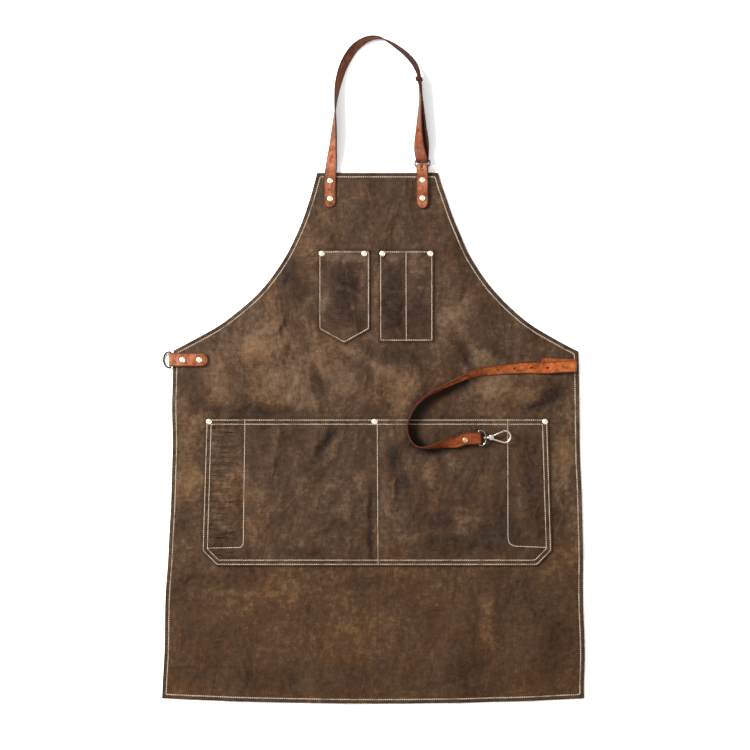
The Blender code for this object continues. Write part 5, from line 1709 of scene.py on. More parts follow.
def heading_of(place):
    """Angle of the frame's local Y about the vertical, from world Y."""
    out = place.to_3x3() @ Vector((0, 1, 0))
    return math.atan2(-out.x, out.y)


def folded_tab(place, length, width, slope, wire_width):
    """Stations of a tab folded over a bar, its two layers pressed flat on the canvas beyond the slope."""
    flat = Matrix.Translation(place.translation) @ Matrix.Rotation(heading_of(place), 4, "Z")
    radius = wire_width / 2 + GAP + TAB_THICK / 2
    bar_across = (place.to_3x3() @ Vector((1, 0, 0))).normalized()
    bar_up = (place.to_3x3() @ Vector((0, 0, 1))).normalized()
    out = (flat.to_3x3() @ Vector((0, 1, 0))).normalized()
    flat_across = (flat.to_3x3() @ Vector((1, 0, 0))).normalized()
    layers = (CANVAS_TOP + GAP + TAB_THICK / 2, CANVAS_TOP + 2 * GAP + TAB_THICK * 1.5)
    sides = []
    for layer, side in zip(layers, (-1, 1)):
        low = Vector((place.translation.x, place.translation.y, layer))
        high = place.translation + bar_up * radius * side
        straight = length - width / 2 - slope
        stations = round_end(low - out * (length - width / 2), flat_across, -out, width / 2)[::-1]
        for i in range(1, 12):
            centre = low - out * (slope + straight * (1 - i / 12))
            stations.append(Station(centre, flat_across, width / 2))
        for i in range(9):
            share = i / 10
            rise = ease(share)
            centre = low.lerp(high, rise) - out * slope * (1 - share)
            stations.append(Station(centre, flat_across.lerp(bar_across, rise), width / 2))
        sides.append(stations)
    fold = half_turn(place.translation, radius, -bar_up, out, bar_across, width / 2)
    return sides[0] + fold + sides[1][::-1]


def route_points(route, x, y, reach, rise):
    """Points of a route with their roll, its shares taken along and up from a corner."""
    points = []
    for turn in route:
        height = rest_height(turn.roll, turn.bed, turn.lift)
        points.append(Vector((x + turn.along * reach, y + turn.up * rise, height, turn.roll)))
    return points


def neck_stations():
    """The neck strap from its riveted end to the buckle, round the upper bar and back up to its tip."""
    place = buckle_place()
    axes = place.to_3x3()
    across, out, up = axes.col[0], axes.col[1], axes.col[2]
    upper_bar = place @ Vector((0, BUCKLE_BARS, 0))
    below = BUCKLE_WIRE / 2 + GAP + STRAP_THICK / 2
    above = below + PRONG_WIRE + GAP
    radius = (above + below) / 2
    middle = upper_bar + up * (above - below) / 2
    into = Vector((*(upper_bar - up * below), 180 - BUCKLE_TILT))
    away = Vector((*(upper_bar + up * above), BUCKLE_TILT))
    chest = (CHEST_LEFT, CHEST_Y, CHEST_WIDTH, NECK_RISE)
    down = rolled(smooth(route_points(NECK_ROUTE, *chest) + [into], ROUTE_STEPS))[:-1]
    back = rolled(smooth([away] + route_points(FREE_ROUTE, *chest), ROUTE_STEPS))[1:]
    fold = half_turn(middle, radius, -up, -out, across, HALF_STRAP)
    start = round_end(down[0].centre, down[0].across, Vector((0, -1, 0)), HALF_STRAP)[:0:-1]
    tip_way = (back[-1].centre - back[-2].centre).normalized()
    tip = round_end(back[-1].centre, back[-1].across, tip_way, HALF_STRAP)[1:]
    return start, down, fold, back, tip


def hook_flat():
    """Frame of the hook's eye bar before the hook is lifted: local X runs along the hook."""
    x = body_edge(1, WAIST_Y) - EYE_ALONG * WAIST_REACH
    y = WAIST_STRAP_Y - EYE_DOWN * WAIST_FALL
    return Matrix.Translation((x, y, EYE_BAR_HEIGHT)) @ Matrix.Rotation(math.radians(HOOK_HEADING), 4, "Z")


def hook_place():
    """The hook's own frame, lifted so that its bow can swivel clear of the pocket."""
    needed = POCKET_TOP + HOOK_SWING_ROOM + BOW_RADIUS + HOOK_WIRE / 2 - EYE_BAR_HEIGHT
    lift = math.asin(needed / BOW_REACH)
    return hook_flat() @ Matrix.Rotation(-lift, 4, "Y")


def lower_layer_aside(back):
    """How far the strap's lower layer lies above its upper one, at a distance back from the fold."""
    return WAIST_LOWER_ASIDE + WAIST_LOWER_ASIDE * back / WAIST_LOWER_LENGTH


def waist_stations():
    """The waist strap from its riveted lower layer, round its loop and round the hook's eye."""
    layer = CANVAS_TOP + GAP + STRAP_THICK / 2
    route = route_points(WAIST_ROUTE, body_edge(1, WAIST_Y), WAIST_STRAP_Y, -WAIST_REACH, -WAIST_FALL)
    first = route[0]
    radius = (first.z - layer) / 2
    edge = body_edge(1, first.y) - WAIST_EDGE_INSET - radius - STRAP_THICK / 2
    across = Vector((0, 1, 0))
    low = Vector((edge, first.y, layer))
    east = Vector((1, 0, 0))
    tip = round_end(low - east * WAIST_LOWER_LENGTH, across, -east, HALF_STRAP)[::-1]
    for i in range(1, 10):
        tip.append(Station(low - east * WAIST_LOWER_LENGTH * (1 - i / 10), across, HALF_STRAP))
    tip = [
        station._replace(centre=station.centre + across * lower_layer_aside(low.x - station.centre.x))
        for station in tip
    ]
    up = Vector((0, 0, 1))
    fold = half_turn(low + up * radius, radius, -up, east, across, HALF_STRAP)
    last = len(fold) - 1
    fold = [
        station._replace(centre=station.centre + across * lower_layer_aside(0.0) * ease(1 - i / last))
        for i, station in enumerate(fold)
    ]
    flat = hook_flat()
    axes = flat.to_3x3()
    ahead, aside = axes.col[0].copy(), axes.col[1].copy()
    wrap = EYE_WIRE / 2 + GAP + STRAP_THICK / 2
    rows = [Vector((edge, first.y, first.z, 0))] + route
    for share in (1.0, 0.5, 0.0):
        rows.append(Vector((*(flat.translation + up * wrap - ahead * share * WAIST_EYE_RUN), 180)))
    run = rolled(smooth(rows, ROUTE_STEPS))[1:-1]
    turn = half_turn(flat.translation, wrap, up, ahead, aside, HALF_STRAP)
    skew = Matrix.Rotation(-math.radians(RETURN_SKEW), 3, "Z")
    homeward, side = skew @ -ahead, skew @ aside
    last = flat.translation + up * (wrap - STRAP_THICK - GAP) + homeward * RETURN_LENGTH
    pressed = last - homeward * RETURN_FLAT
    eased = (flat.translation - up * wrap).lerp(pressed, RETURN_RISE_START) - up * RETURN_SAG
    home = [Station(eased, side, HALF_STRAP), Station(pressed, side, HALF_STRAP)]
    return tip + fold, run, turn, home + round_end(last, side, homeward, HALF_STRAP)


def straight_distance(stations, x, y):
    """Distance along the strip of the place nearest to a point seen from above."""
    along = distances(stations)
    spots = [(station.centre.xy - Vector((x, y))).length for station in stations]
    i = spots.index(min(spots))
    ahead = (stations[min(i + 1, len(stations) - 1)].centre - stations[max(i - 1, 0)].centre).xy.normalized()
    return along[i] + (Vector((x, y)) - stations[i].centre.xy).dot(ahead)


def spun(bm, points, middle, axis, sides):
    """A round solid, its outline swept full circle about an axis."""
    verts = [bm.verts.new(point) for point in points]
    edges = [bm.edges.new(pair) for pair in zip(verts, verts[1:])]
    bmesh.ops.spin(
        bm, geom=verts + edges, cent=middle, axis=axis, dvec=(0, 0, 0), angle=2 * math.pi, steps=sides,
        use_merge=True, use_duplicate=False,
    )


# Rivets

def all_rivets():
    """Every rivet with the lowest and highest faces of the layers that it holds."""
    strap_top = CANVAS_TOP + GAP + STRAP_THICK
    tab_top = CANVAS_TOP + 2 * (GAP + TAB_THICK)
    neck_x = CHEST_LEFT + NECK_ROUTE[0].along * CHEST_WIDTH
    buckle = buckle_place().translation
    ring = ring_place().translation
    waist = waist_stations()[0][-1].centre
    eye_top = EYE_BAR_HEIGHT + EYE_WIRE / 2 + GAP + STRAP_THICK
    hook_end = hook_flat() @ Vector((-HOOK_END_RIVET[0], -HOOK_END_RIVET[1], 0))
    rivets = [Rivet("hook_end_rivet", hook_end.x, hook_end.y, eye_top - 2 * STRAP_THICK - GAP, eye_top)]
    for i in range(2):
        pairs = (
            ("neck_strap_rivet", neck_x, CHEST_Y - NECK_STRAP_RIVETS[i], strap_top),
            ("buckle_tab_rivet", buckle.x, CHEST_Y - BUCKLE_TAB_RIVETS[i], tab_top),
            ("ring_tab_rivet", ring.x + RING_TAB_RIVETS[i], ring.y, tab_top),
            ("waist_strap_rivet", waist.x - WAIST_STRAP_RIVETS[i], waist.y, strap_top),
        )
        rivets += [Rivet(f"{name}_{i + 1}", x, y, HEM_FOLD, top) for name, x, y, top in pairs]
    inset = POCKET_RIVET_INSET
    chest_y, lower_y = CHEST_POCKET_TOP - inset, LOWER_TOP - inset
    corners = (
        ("pointed_pocket_rivet_1", POINTED_X - POINTED_WIDTH / 2 + inset, chest_y),
        ("pointed_pocket_rivet_2", POINTED_X + POINTED_WIDTH / 2 - POINTED_RIVET_INSET, chest_y),
        ("divided_pocket_rivet_1", DIVIDED_X - DIVIDED_WIDTH / 2 + inset, chest_y),
        ("divided_pocket_rivet_2", DIVIDED_X + DIVIDED_WIDTH / 2 - inset, chest_y),
        ("lower_pocket_rivet_1", LOWER_OFFSET - LOWER_TOP_WIDTH / 2 + inset, lower_y),
        ("lower_pocket_rivet_2", LOWER_OFFSET + LOWER_TOP_WIDTH * (LOWER_MIDDLE_RIVET - 0.5), lower_y),
        ("lower_pocket_rivet_3", LOWER_OFFSET + LOWER_TOP_WIDTH / 2 - inset, lower_y),
    )
    return rivets + [Rivet(name, x, y, HEM_FOLD, POCKET_TOP) for name, x, y in corners]


def turned_rivet(bm, rivet):
    """A rivet turned about its axis: a pressed cap with a rolled rim, its shank and a flat back."""
    seat = rivet.high + GAP * 0.4
    under = rivet.low - GAP
    dome = []
    for i in range(9):
        share = i / 8
        dome.append((CAP_RADIUS * 0.86 * share, seat + CAP_HEIGHT * (0.42 + 0.58 * math.cos(share * 1.36))))
    profile = dome + [
        (CAP_RADIUS * 0.90, seat + CAP_HEIGHT * 0.40),
        (CAP_RADIUS * 0.95, seat + CAP_HEIGHT * 0.44),
        (CAP_RADIUS * 0.99, seat + CAP_HEIGHT * 0.32),
        (CAP_RADIUS, seat + CAP_HEIGHT * 0.14),
        (CAP_RADIUS * 0.97, seat),
        (SHANK_RADIUS, seat),
        (SHANK_RADIUS, under),
        (BACK_RADIUS * 0.96, under),
        (BACK_RADIUS, under - BACK_THICK * 0.4),
        (BACK_RADIUS * 0.80, under - BACK_THICK),
        (0.0, under - BACK_THICK),
    ]
    points = [(rivet.x + x, rivet.y, z) for x, z in profile]
    spun(bm, points, (rivet.x, rivet.y, 0.0), (0, 0, 1), 28)


# Metal

def bent_wire(points, radius, closed):
    """Mesh of a round wire through the points."""
    data = bpy.data.curves.new("wire", "CURVE")
    data.dimensions = "3D"
    data.bevel_depth = radius
    data.bevel_resolution = 5
    data.use_fill_caps = not closed
    line = data.splines.new("POLY")
    line.points.add(len(points) - 1)
    for point, place in zip(line.points, points):
        point.co = (*place, 1.0)
    line.use_cyclic_u = closed
    return evaluated(linked("wire", data))


def arc(middle, radius, start, end, steps):
    """Points of an arc in the XY plane, angles in degrees."""
    x, y = middle
    angles = [math.radians(start + (end - start) * i / steps) for i in range(steps + 1)]
    return [Vector((x + radius * math.cos(angle), y + radius * math.sin(angle), 0)) for angle in angles]


def turned(bm, start, end, profile, sides=24):
    """A round solid on the axis from start to end, its profile as (share along, radius)."""
    start, end = Vector(start), Vector(end)
    axis = (end - start).normalized()
    side = axis.orthogonal().normalized()
    spun(bm, [start.lerp(end, share) + side * radius for share, radius in profile], start, axis, sides)


def softened_box(bm, low, high, offset):
    low, high = Vector(low), Vector(high)
    place = Matrix.Translation((low + high) / 2) @ Matrix.Diagonal((*(high - low), 1.0))
    made = bmesh.ops.create_cube(bm, size=1.0, matrix=place)
    rounded(bm, list({edge for vert in made["verts"] for edge in vert.link_edges}), offset, True)


def placed(bm, place=Matrix.Identity(4)):
    """Joins doubled points, puts the shape in its place and turns its faces outwards."""
    bmesh.ops.remove_doubles(bm, verts=bm.verts[:], dist=JOIN)
    bmesh.ops.transform(bm, matrix=place, verts=bm.verts[:])
    bmesh.ops.recalc_face_normals(bm, faces=bm.faces[:])
    return bm


def nose_point():
    angle = math.radians(NOSE_ANGLE)
    return Vector((BOW_REACH + BOW_RADIUS * math.cos(angle), BOW_RADIUS * math.sin(angle), 0))


# Operators, one for each piece or group of like pieces

class APRON_OT_body(bpy.types.Operator):
    """Cuts the canvas body, turns its hem and lays it on the floor"""

    bl_idname = "apron.body"
    bl_label = "Canvas body"

    def execute(self, context):
        cloth = Body()
        bm = laid_sheet(cut_sheet(cloth.outline, BODY_INSETS, sizes().cloth_grid), cloth)
        body = finished("canvas_body", bm, "waxed_canvas", ("apron_body",), angle=60)
        seam = bmesh.new()
        edge = inset_outline(cloth.outline, SEAM_INSET)
        stitch_row(seam, edge, cloth, sizes().hem_thread, closed=True)
        stitching = finished("hem_stitching", seam, "hem_thread")
        return {"FINISHED"}


class APRON_OT_pockets(bpy.types.Operator):
    """Cuts the three patch pockets and sews them to the body"""

    bl_idname = "apron.pockets"
    bl_label = "Pockets"

    def execute(self, context):
        pointed = chest_cloth(pointed_outline(), POINTED_ROOMS, POINTED_DEPTH, POINTED_PATCHES)
        divided = chest_cloth(divided_outline(), DIVIDED_ROOMS, DIVIDED_DEPTH, DIVIDED_PATCHES)
        paths = (centre_path(), slot_path(-1), slot_path(1))
        rows = (
            ("pointed_pocket", pointed, "chest_pocket_pointed", CHEST_INSETS, ()),
            ("divided_pocket", divided, "chest_pocket_divided", CHEST_INSETS, (divider_path(),)),
            ("lower_pocket", lower_cloth(), "lower_pocket", LOWER_INSETS, paths),
        )
        for name, cloth, node, insets, extra in rows:
            columns = [path[0].x + aside for path in extra for aside in (-SEAM_SIDE, 0.0, SEAM_SIDE)]
            bm = laid_sheet(cut_sheet(cloth.outline, insets, POCKET_GRID, columns), cloth)
            pocket = finished(
                name + "_cloth", bm, "pocket_waxed_canvas", (node,), angle=60
            )
            seam = bmesh.new()
            for inset in cloth.seams:
                stitch_row(seam, inset_outline(cloth.outline, inset), cloth, sizes().thread, closed=True)
            for path in extra:
                stitch_row(seam, path, cloth, sizes().thread)
            stitching = finished(name + "_stitching", seam, "seam_thread")
            width, depth = cloth.right - cloth.left, cloth.top - cloth.foot
            width + 0.02
            depth + 0.03
            (width + 0.008) * (depth + 0.010)
        return {"FINISHED"}


class APRON_OT_neck_strap(bpy.types.Operator):
    """Cuts the neck strap, lays it round its loop and through its buckle, and adds the keeper"""

    bl_idname = "apron.neck_strap"
    bl_label = "Neck strap"

    def execute(self, context):
        start, down, fold, back, tip = neck_stations()
        stations = start + down + fold + back + tip
        pair = rivets_of("neck_strap")
        riveted = [(straight_distance(start + down, rivet.x, rivet.y), 0.0) for rivet in pair]
        free_hole = distances(stations)[-1] - FREE_HOLE_BACK
        prong_hole = distances(start + down + fold)[-1] - distances(fold)[-1] / 2
        holes = riveted + [(free_hole, 0.0), (prong_hole, 0.0)]
        lead = distances(start + down)[-1]
        # Painted shade on the right of the loop and under the free end, and a paler riveted end
        shade_spans = [(first * lead + out, last * lead + past, tone_level) for first, out, last, past, tone_level in NECK_SHADES]
        bm = strap(stations, STRAP_THICK, holes, caps=riveted, flesh=-0.3, shade_spans=shade_spans)
        finished("neck_strap_leather", bm, "strap_leather", ("neck_strap",), angle=60)
        self.make_keeper(down, back)
        return {"FINISHED"}

    def make_keeper(self, down, back):
        spot = back[-1].centre + (back[-1].centre - back[-2].centre).normalized() * KEEPER_BACK
        near = min(range(len(down)), key=lambda i: (down[i].centre - spot).length)
        heading = (down[near + 1].centre - down[near - 1].centre).normalized()
        across = down[near].across
        face = across.cross(heading).normalized()
        main = down[near].centre + heading * (spot - down[near].centre).dot(heading)
        apart = (spot - main).dot(face)
        middle = main + face * apart / 2
        half_across = HALF_STRAP + KEEPER_ROOM + KEEPER_THICK / 2
        half_face = abs(apart) / 2 + STRAP_THICK / 2 + KEEPER_ROOM + KEEPER_THICK / 2
        corner = KEEPER_THICK * 1.4
        ring = []
        for a, b in ((1, 1), (-1, 1), (-1, -1), (1, -1)):
            hub = middle + across * a * (half_across - corner) + face * b * (half_face - corner)
            first, second = (face * b, across * a) if a * b < 0 else (across * a, face * b)
            for i in range(7):
                angle = math.radians(15 * i)
                ring.append(hub + corner * (first * math.cos(angle) + second * math.sin(angle)))
        bm = bmesh.new()
        verts = [bm.verts.new(point - heading * KEEPER_WIDTH / 2) for point in ring]
        edges = [bm.edges.new(pair) for pair in zip(verts, verts[1:] + verts[:1])]
        made = bmesh.ops.extrude_edge_only(bm, edges=edges)
        bmesh.ops.translate(bm, verts=points_of(made), vec=heading * KEEPER_WIDTH)
        bmesh.ops.recalc_face_normals(bm, faces=bm.faces[:])
        bmesh.ops.solidify(bm, geom=bm.faces[:], thickness=KEEPER_THICK / 2)
        bmesh.ops.recalc_face_normals(bm, faces=bm.faces[:])
        uv = bm.loops.layers.uv.new("strap")
        for side in bm.faces:
            for loop in side.loops:
                offset = loop.vert.co - middle
                loop[uv].uv = (offset.dot(across) + offset.dot(face), offset.dot(heading))
        # The keeper is given painted shade all over
        for name, level in (("edge", 0.5), ("back", 0.0), ("aged", 0.8)):
            layer = bm.verts.layers.float.new(name)
            for vert in bm.verts:
                vert[layer] = level
        finished("keeper_leather", bm, "strap_leather", ("strap_keeper",), angle=60)


class APRON_OT_waist_strap(bpy.types.Operator):
    """Cuts the waist strap with its row of holes and lays it out to the snap hook"""

    bl_idname = "apron.waist_strap"
    bl_label = "Waist strap"

    def execute(self, context):
        lower, run, turn, end = waist_stations()
        flat = lower[: -FOLD_STEPS - 1]
        holes = []
        for rivet in rivets_of("waist_strap"):
            aside = lower_layer_aside(lower[-1].centre.x - rivet.x)
            holes.append((straight_distance(flat, rivet.x, rivet.y), -aside))
        lead = distances(lower + run[:1])[-1]
        holes += [(lead + FIRST_HOLE + i * HOLE_PITCH, 0.0) for i in range(WAIST_HOLES)]
        reach = distances(lower + run)[-1]
        # Painted shade along the loop, where the strap stands on edge, and round its fold over the hook's eye
        shade_spans = (
            (lead + 0.45 * (reach - lead), lead + 0.96 * (reach - lead), 0.42),
            (reach - 0.05, 2 * reach, 0.46),
        )
        bm = strap(lower + run + turn + end, STRAP_THICK, holes, shade_spans=shade_spans)
        finished("waist_strap_leather", bm, "waist_leather", ("waist_strap",), angle=60)
        return {"FINISHED"}


class APRON_OT_tabs(bpy.types.Operator):
    """Cuts the folded tabs of the buckle and of the D ring"""

    bl_idname = "apron.tabs"
    bl_label = "Leather tabs"

    def execute(self, context):
        buckle = (buckle_place(), BUCKLE_TAB_LENGTH, BUCKLE_TAB_WIDTH, BUCKLE_TAB_SLOPE, BUCKLE_WIRE)
        ring = (ring_place(), RING_TAB_LENGTH, RING_TAB_WIDTH, RING_TAB_SLOPE, RING_WIRE)
        rows = (
            ("buckle_tab", folded_tab(*buckle), "neck_buckle_tab", (PRONG_SLOT,)),
            ("ring_tab", folded_tab(*ring), "d_ring_tab", ()),
        )
        for name, stations, node, slot_halves in rows:
            total = distances(stations)[-1]
            holes = []
            for rivet in rivets_of(name):
                near = straight_distance(stations[: len(stations) // 2 - 6], rivet.x, rivet.y)
                holes += [(near, 0.0), (total - near, 0.0)]
            slots = [(total / 2 - half, total / 2 + half, PRONG_WIRE / 2 + GAP) for half in slot_halves]
            bm = strap(stations, TAB_THICK, holes, slots, holes[1::2], 0.9)
            finished(name + "_leather", bm, "tab_leather", (node,), angle=60)
        return {"FINISHED"}


class APRON_OT_rivets(bpy.types.Operator):
    """Turns the rivets: pale caps on the canvas and tabs, a brass one at the hook's end"""

    bl_idname = "apron.rivets"
    bl_label = "Rivets"

    def execute(self, context):
        pale = [rivet for rivet in all_rivets() if rivet.name != "hook_end_rivet"]
        groups = (
            ("pale_rivets", pale, "pale_cap", "rivet_cap"),
            ("hook_end_rivet_brass", rivets_of("hook_end"), "brass_cap", "brass"),
        )
        for name, rivets, finish, slot in groups:
            bm = bmesh.new()
            for rivet in rivets:
                turned_rivet(bm, rivet)
            finished(name, placed(bm), finish, [rivet.name for rivet in rivets], angle=40)
        return {"FINISHED"}


class APRON_OT_buckle(bpy.types.Operator):
    """Bends the neck buckle's frame and its prong"""

    bl_idname = "apron.buckle"
    bl_label = "Neck buckle"

    def execute(self, context):
        half, corner = BUCKLE_SPAN / 2, BUCKLE_CORNER
        corners = ((half, 0, -90), (half, BUCKLE_BARS, 0), (-half, BUCKLE_BARS, 90), (-half, 0, 180))
        points = []
        for x, y, start in corners:
            hub = (x - math.copysign(corner, x), y + (corner if y == 0 else -corner))
            points += arc(hub, corner, start, start + 90, 8)
        place = buckle_place()
        bm = placed(bent_wire(points, BUCKLE_WIRE / 2, True), place)
        # Dark plate standing in for the shade of the folds over the buckle
        finished("buckle_wire", bm, "gunmetal_plate", ("neck_buckle",))
        height = BUCKLE_WIRE / 2 + GAP + PRONG_WIRE / 2
        reach = BUCKLE_BARS + PRONG_PAST_BAR
        angles = [math.radians(450 - 15 * i) for i in range(23)]
        finger = [Vector((0, reach * (1 - i / 14), height)) for i in range(14)]
        finger += [Vector((0, height * math.cos(angle), height * math.sin(angle))) for angle in angles]
        bm = placed(bent_wire(finger, PRONG_WIRE / 2, False), place)
        finished("buckle_prong", bm, "gunmetal_plate", ("neck_buckle_prong",))
        return {"FINISHED"}


class APRON_OT_ring(bpy.types.Operator):
    """Bends the D ring in the side tab"""

    bl_idname = "apron.ring"
    bl_label = "D ring"

    def execute(self, context):
        half = RING_TAB_WIDTH / 2 + 2 * GAP + RING_WIRE / 2
        straight = half - RING_CORNER
        points = [Vector((straight * (i / 6 - 1), 0, 0)) for i in range(13)]
        points += arc((straight, RING_CORNER), RING_CORNER, -90, 0, 4)[1:]
        bow = RING_DEPTH - RING_SHOULDER
        for i in range(33):
            angle = math.pi * i / 32
            points.append(Vector((half * math.cos(angle), RING_SHOULDER + bow * math.sin(angle), 0)))
        points += arc((-straight, RING_CORNER), RING_CORNER, 180, 270, 4)[:-1]
        fall = ring_place().translation.z - RING_WIRE / 2 - GAP
        droop = math.asin(fall / RING_DEPTH)
        place = ring_place() @ Matrix.Rotation(-droop, 4, "X")
        bm = placed(bent_wire(points, RING_WIRE / 2 + RING_PLATING, True), place)
        finished("ring_wire", bm, "dark_plate", ("d_ring",), body="ring")
        return {"FINISHED"}


class APRON_OT_hook(bpy.types.Operator):
    """Bends and turns the swivel snap hook: its eye, its bow with the stem, and its gate"""

    bl_idname = "apron.hook"
    bl_label = "Snap hook"

    def execute(self, context):
        place = hook_place()
        finished("hook_eye_wire", self.eye(place), "eye_plate", ("hook_eye",), body="eye")
        finished("hook_bow", self.bow(place), "nickel_plate", ("hook_body",), body="hook")
        finished("hook_gate_arm", self.gate(place), "nickel_plate", ("hook_gate",), body="gate")
        return {"FINISHED"}

    def eye(self, place):
        half, depth = EYE_SPAN / 2, EYE_DEPTH
        points = [Vector((0, (EYE_CORNER - half) * (1 - i / 6), 0)) for i in range(6)][::-1]
        points += arc((EYE_CORNER, EYE_CORNER - half), EYE_CORNER, 180, 270, 6)
        for i in range(1, 15):
            angle = math.pi / 2 * i / 15
            reach = EYE_STRAIGHT + (depth - EYE_STRAIGHT) * math.sin(angle)
            points.append(Vector((reach, -half * math.cos(angle), 0)))
        points += [Vector((p.x, -p.y, 0)) for p in reversed(points[1:])]
        bm = bent_wire(points, EYE_WIRE / 2, True)
        start, end = depth - COLLAR_LENGTH / 2, depth + COLLAR_LENGTH / 2
        inner = STEM_RADIUS + GAP
        profile = (
            (0.0, inner), (0.0, COLLAR_RADIUS * 0.86), (0.08, COLLAR_RADIUS * 0.96), (0.2, COLLAR_RADIUS),
            (0.8, COLLAR_RADIUS), (0.92, COLLAR_RADIUS * 0.96), (1.0, COLLAR_RADIUS * 0.86), (1.0, inner),
            (0.0, inner),
        )
        turned(bm, (start, 0, 0), (end, 0, 0), profile)
        return placed(bm, place)

    def bow(self, place):
        root = Vector((ROOT_ALONG, ROOT_ASIDE, 0))
        towards = math.degrees(math.atan2(root.y, root.x - BOW_REACH))
        span = math.hypot(root.x - BOW_REACH, root.y)
        tangent = towards + math.degrees(math.acos(BOW_RADIUS / span))
        bend = arc((BOW_REACH, 0), BOW_RADIUS, tangent, NOSE_ANGLE, 40)
        points = [root.lerp(bend[0], i / 10) for i in range(10)] + bend
        bm = bent_wire(points, HOOK_WIRE / 2 + HOOK_PLATING, False)
        half, thick = KNOB_WIDTH / 2, KNOB_THICK / 2
        cheek = GATE_THICK / 2 + GAP
        end = KNOB_START + KNOB_LENGTH
        x, y = GATE_PIVOT
        softened_box(bm, (KNOB_START, -half, cheek), (end, half, thick), KNOB_EDGE)
        softened_box(bm, (KNOB_START, -half, -thick), (end, half, -cheek), KNOB_EDGE)
        room = GATE_ROOT_RADIUS + GATE_ROOM
        softened_box(bm, (KNOB_START, -half, -thick * 0.9), (x - room, half, thick * 0.9), KNOB_WEB_EDGE)
        softened_box(bm, (KNOB_START, -half, -thick * 0.9), (end, y - room, thick * 0.9), KNOB_WALL_EDGE)
        inner = EYE_DEPTH - COLLAR_LENGTH / 2 - GAP
        outer = EYE_DEPTH + COLLAR_LENGTH / 2 + GAP
        stem = inner - STEM_HEAD_LENGTH
        foot = KNOB_START + 0.001
        length = foot - stem
        rows = (
            (stem, 0.0), (stem, STEM_HEAD_RADIUS * 0.8), (stem + 0.0003, STEM_HEAD_RADIUS),
            (inner - 0.0003, STEM_HEAD_RADIUS), (inner, STEM_HEAD_RADIUS * 0.9), (inner, STEM_RADIUS),
            (outer, STEM_RADIUS), (outer, NECK_RADIUS * 0.9), (outer + 0.0004, NECK_RADIUS),
            (KNOB_START - 0.0003, NECK_RADIUS), (foot, NECK_RADIUS * 1.1), (foot, 0.0),
        )
        profile = [((spot - stem) / length, radius) for spot, radius in rows]
        turned(bm, (stem, 0, 0), (foot, 0, 0), profile)
        pin = ((0.0, 0.0), (0.0, GATE_PIN_RADIUS), (1.0, GATE_PIN_RADIUS), (1.0, 0.0))
        turned(bm, (x, y, -thick * 0.98), (x, y, thick * 0.98), pin, 16)
        return placed(bm, place)

    def gate(self, place):
        nose = nose_point()
        pivot = Vector((*GATE_PIVOT, 0))
        angle = math.atan2(nose.y - pivot.y, nose.x - pivot.x)
        reach = (nose - pivot).length - NOSE_GAP
        half = GATE_THICK / 2
        bm = bmesh.new()
        softened_box(bm, (GATE_ROOT_RADIUS * 0.75, -half, -half), (reach, half, half), GATE_EDGE)
        inner = GATE_PIN_RADIUS + GAP
        ring = (
            (0.0, inner), (0.0, GATE_ROOT_RADIUS * 0.92), (0.12, GATE_ROOT_RADIUS), (0.88, GATE_ROOT_RADIUS),
            (1.0, GATE_ROOT_RADIUS * 0.92), (1.0, inner), (0.0, inner),
        )
        turned(bm, (0, 0, -half), (0, 0, half), ring, 20)
        return placed(bm, place @ Matrix.Translation(pivot) @ Matrix.Rotation(angle, 4, "Z"))


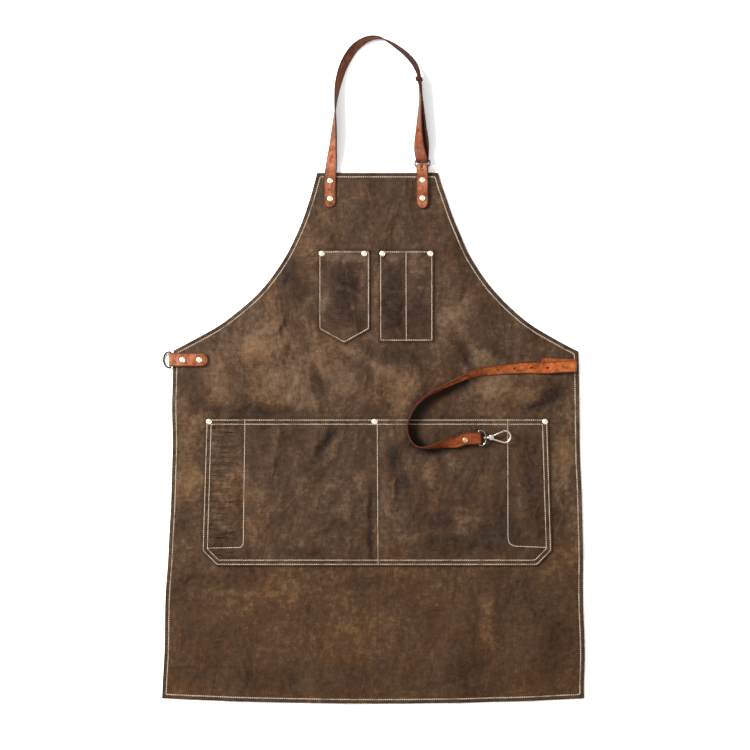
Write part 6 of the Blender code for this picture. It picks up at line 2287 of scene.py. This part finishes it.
class APRON_OT_stage(bpy.types.Operator):
    """Sets the paper floor, the soft lights and the camera straight above"""

    bl_idname = "apron.stage"
    bl_label = "Stage"

    def execute(self, context):
        scene = context.scene
        bm = bmesh.new()
        bmesh.ops.create_grid(bm, x_segments=8, y_segments=8, size=PAPER_REACH)
        bmesh.ops.translate(bm, verts=bm.verts[:], vec=(0, 0, -PAPER_DROP))
        floor = blank("floor", bm)
        floor.data.materials.append(made_of("paper"))
        for lamp in LAMPS:
            data = bpy.data.lights.new(lamp.name, "AREA")
            data.shape = "SQUARE"
            data.size = lamp.side
            data.energy = lamp.power
            light = linked(lamp.name, data)
            light.location = lamp.spot
            light.rotation_euler = (-Vector(lamp.spot)).to_track_quat("-Z", "Y").to_euler()
        world = bpy.data.worlds.new("studio")
        world.use_nodes = True
        background = world.node_tree.nodes["Background"]
        background.inputs["Color"].default_value = (1.0, 1.0, 1.0, 1.0)
        background.inputs["Strength"].default_value = 1.0
        scene.world = world
        scene.view_settings.view_transform = "Standard"
        data = bpy.data.cameras.new("overhead")
        data.lens = CAMERA_LENS
        data.sensor_width = CAMERA_SENSOR
        data.clip_end = CAMERA_SIGHT
        camera = linked("overhead", data)
        camera.location = CAMERA_SPOT
        scene.camera = camera
        return {"FINISHED"}


class APRON_PT_pieces(bpy.types.Panel):
    """Sizes, colours and pieces of the apron"""

    bl_idname = "APRON_PT_pieces"
    bl_label = "Apron"
    bl_space_type = "VIEW_3D"
    bl_region_type = "UI"
    bl_category = "Apron"

    def draw(self, context):
        for group in (context.scene.apron_sizes, context.scene.apron_colours):
            column = self.layout.column(align=True)
            for name in group.__annotations__:
                column.prop(group, name)
        column = self.layout.column(align=True)
        for operator in OPERATORS:
            column.operator(operator.bl_idname)


OPERATORS = (
    APRON_OT_stage,
    APRON_OT_body,
    APRON_OT_pockets,
    APRON_OT_neck_strap,
    APRON_OT_waist_strap,
    APRON_OT_tabs,
    APRON_OT_rivets,
    APRON_OT_buckle,
    APRON_OT_ring,
    APRON_OT_hook,
)
CLASSES = (ApronSizes, ApronColours, *OPERATORS, APRON_PT_pieces)


def register():
    for cls in CLASSES:
        bpy.utils.register_class(cls)
    bpy.types.Scene.apron_sizes = bpy.props.PointerProperty(type=ApronSizes)
    bpy.types.Scene.apron_colours = bpy.props.PointerProperty(type=ApronColours)


def unregister():
    del bpy.types.Scene.apron_colours
    del bpy.types.Scene.apron_sizes
    for cls in reversed(CLASSES):
        bpy.utils.unregister_class(cls)


def main():
    register()
    for operator in OPERATORS:
        group, name = operator.bl_idname.split(".")
        getattr(getattr(bpy.ops, group), name)()
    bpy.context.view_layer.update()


if __name__ == "__main__":
    main()
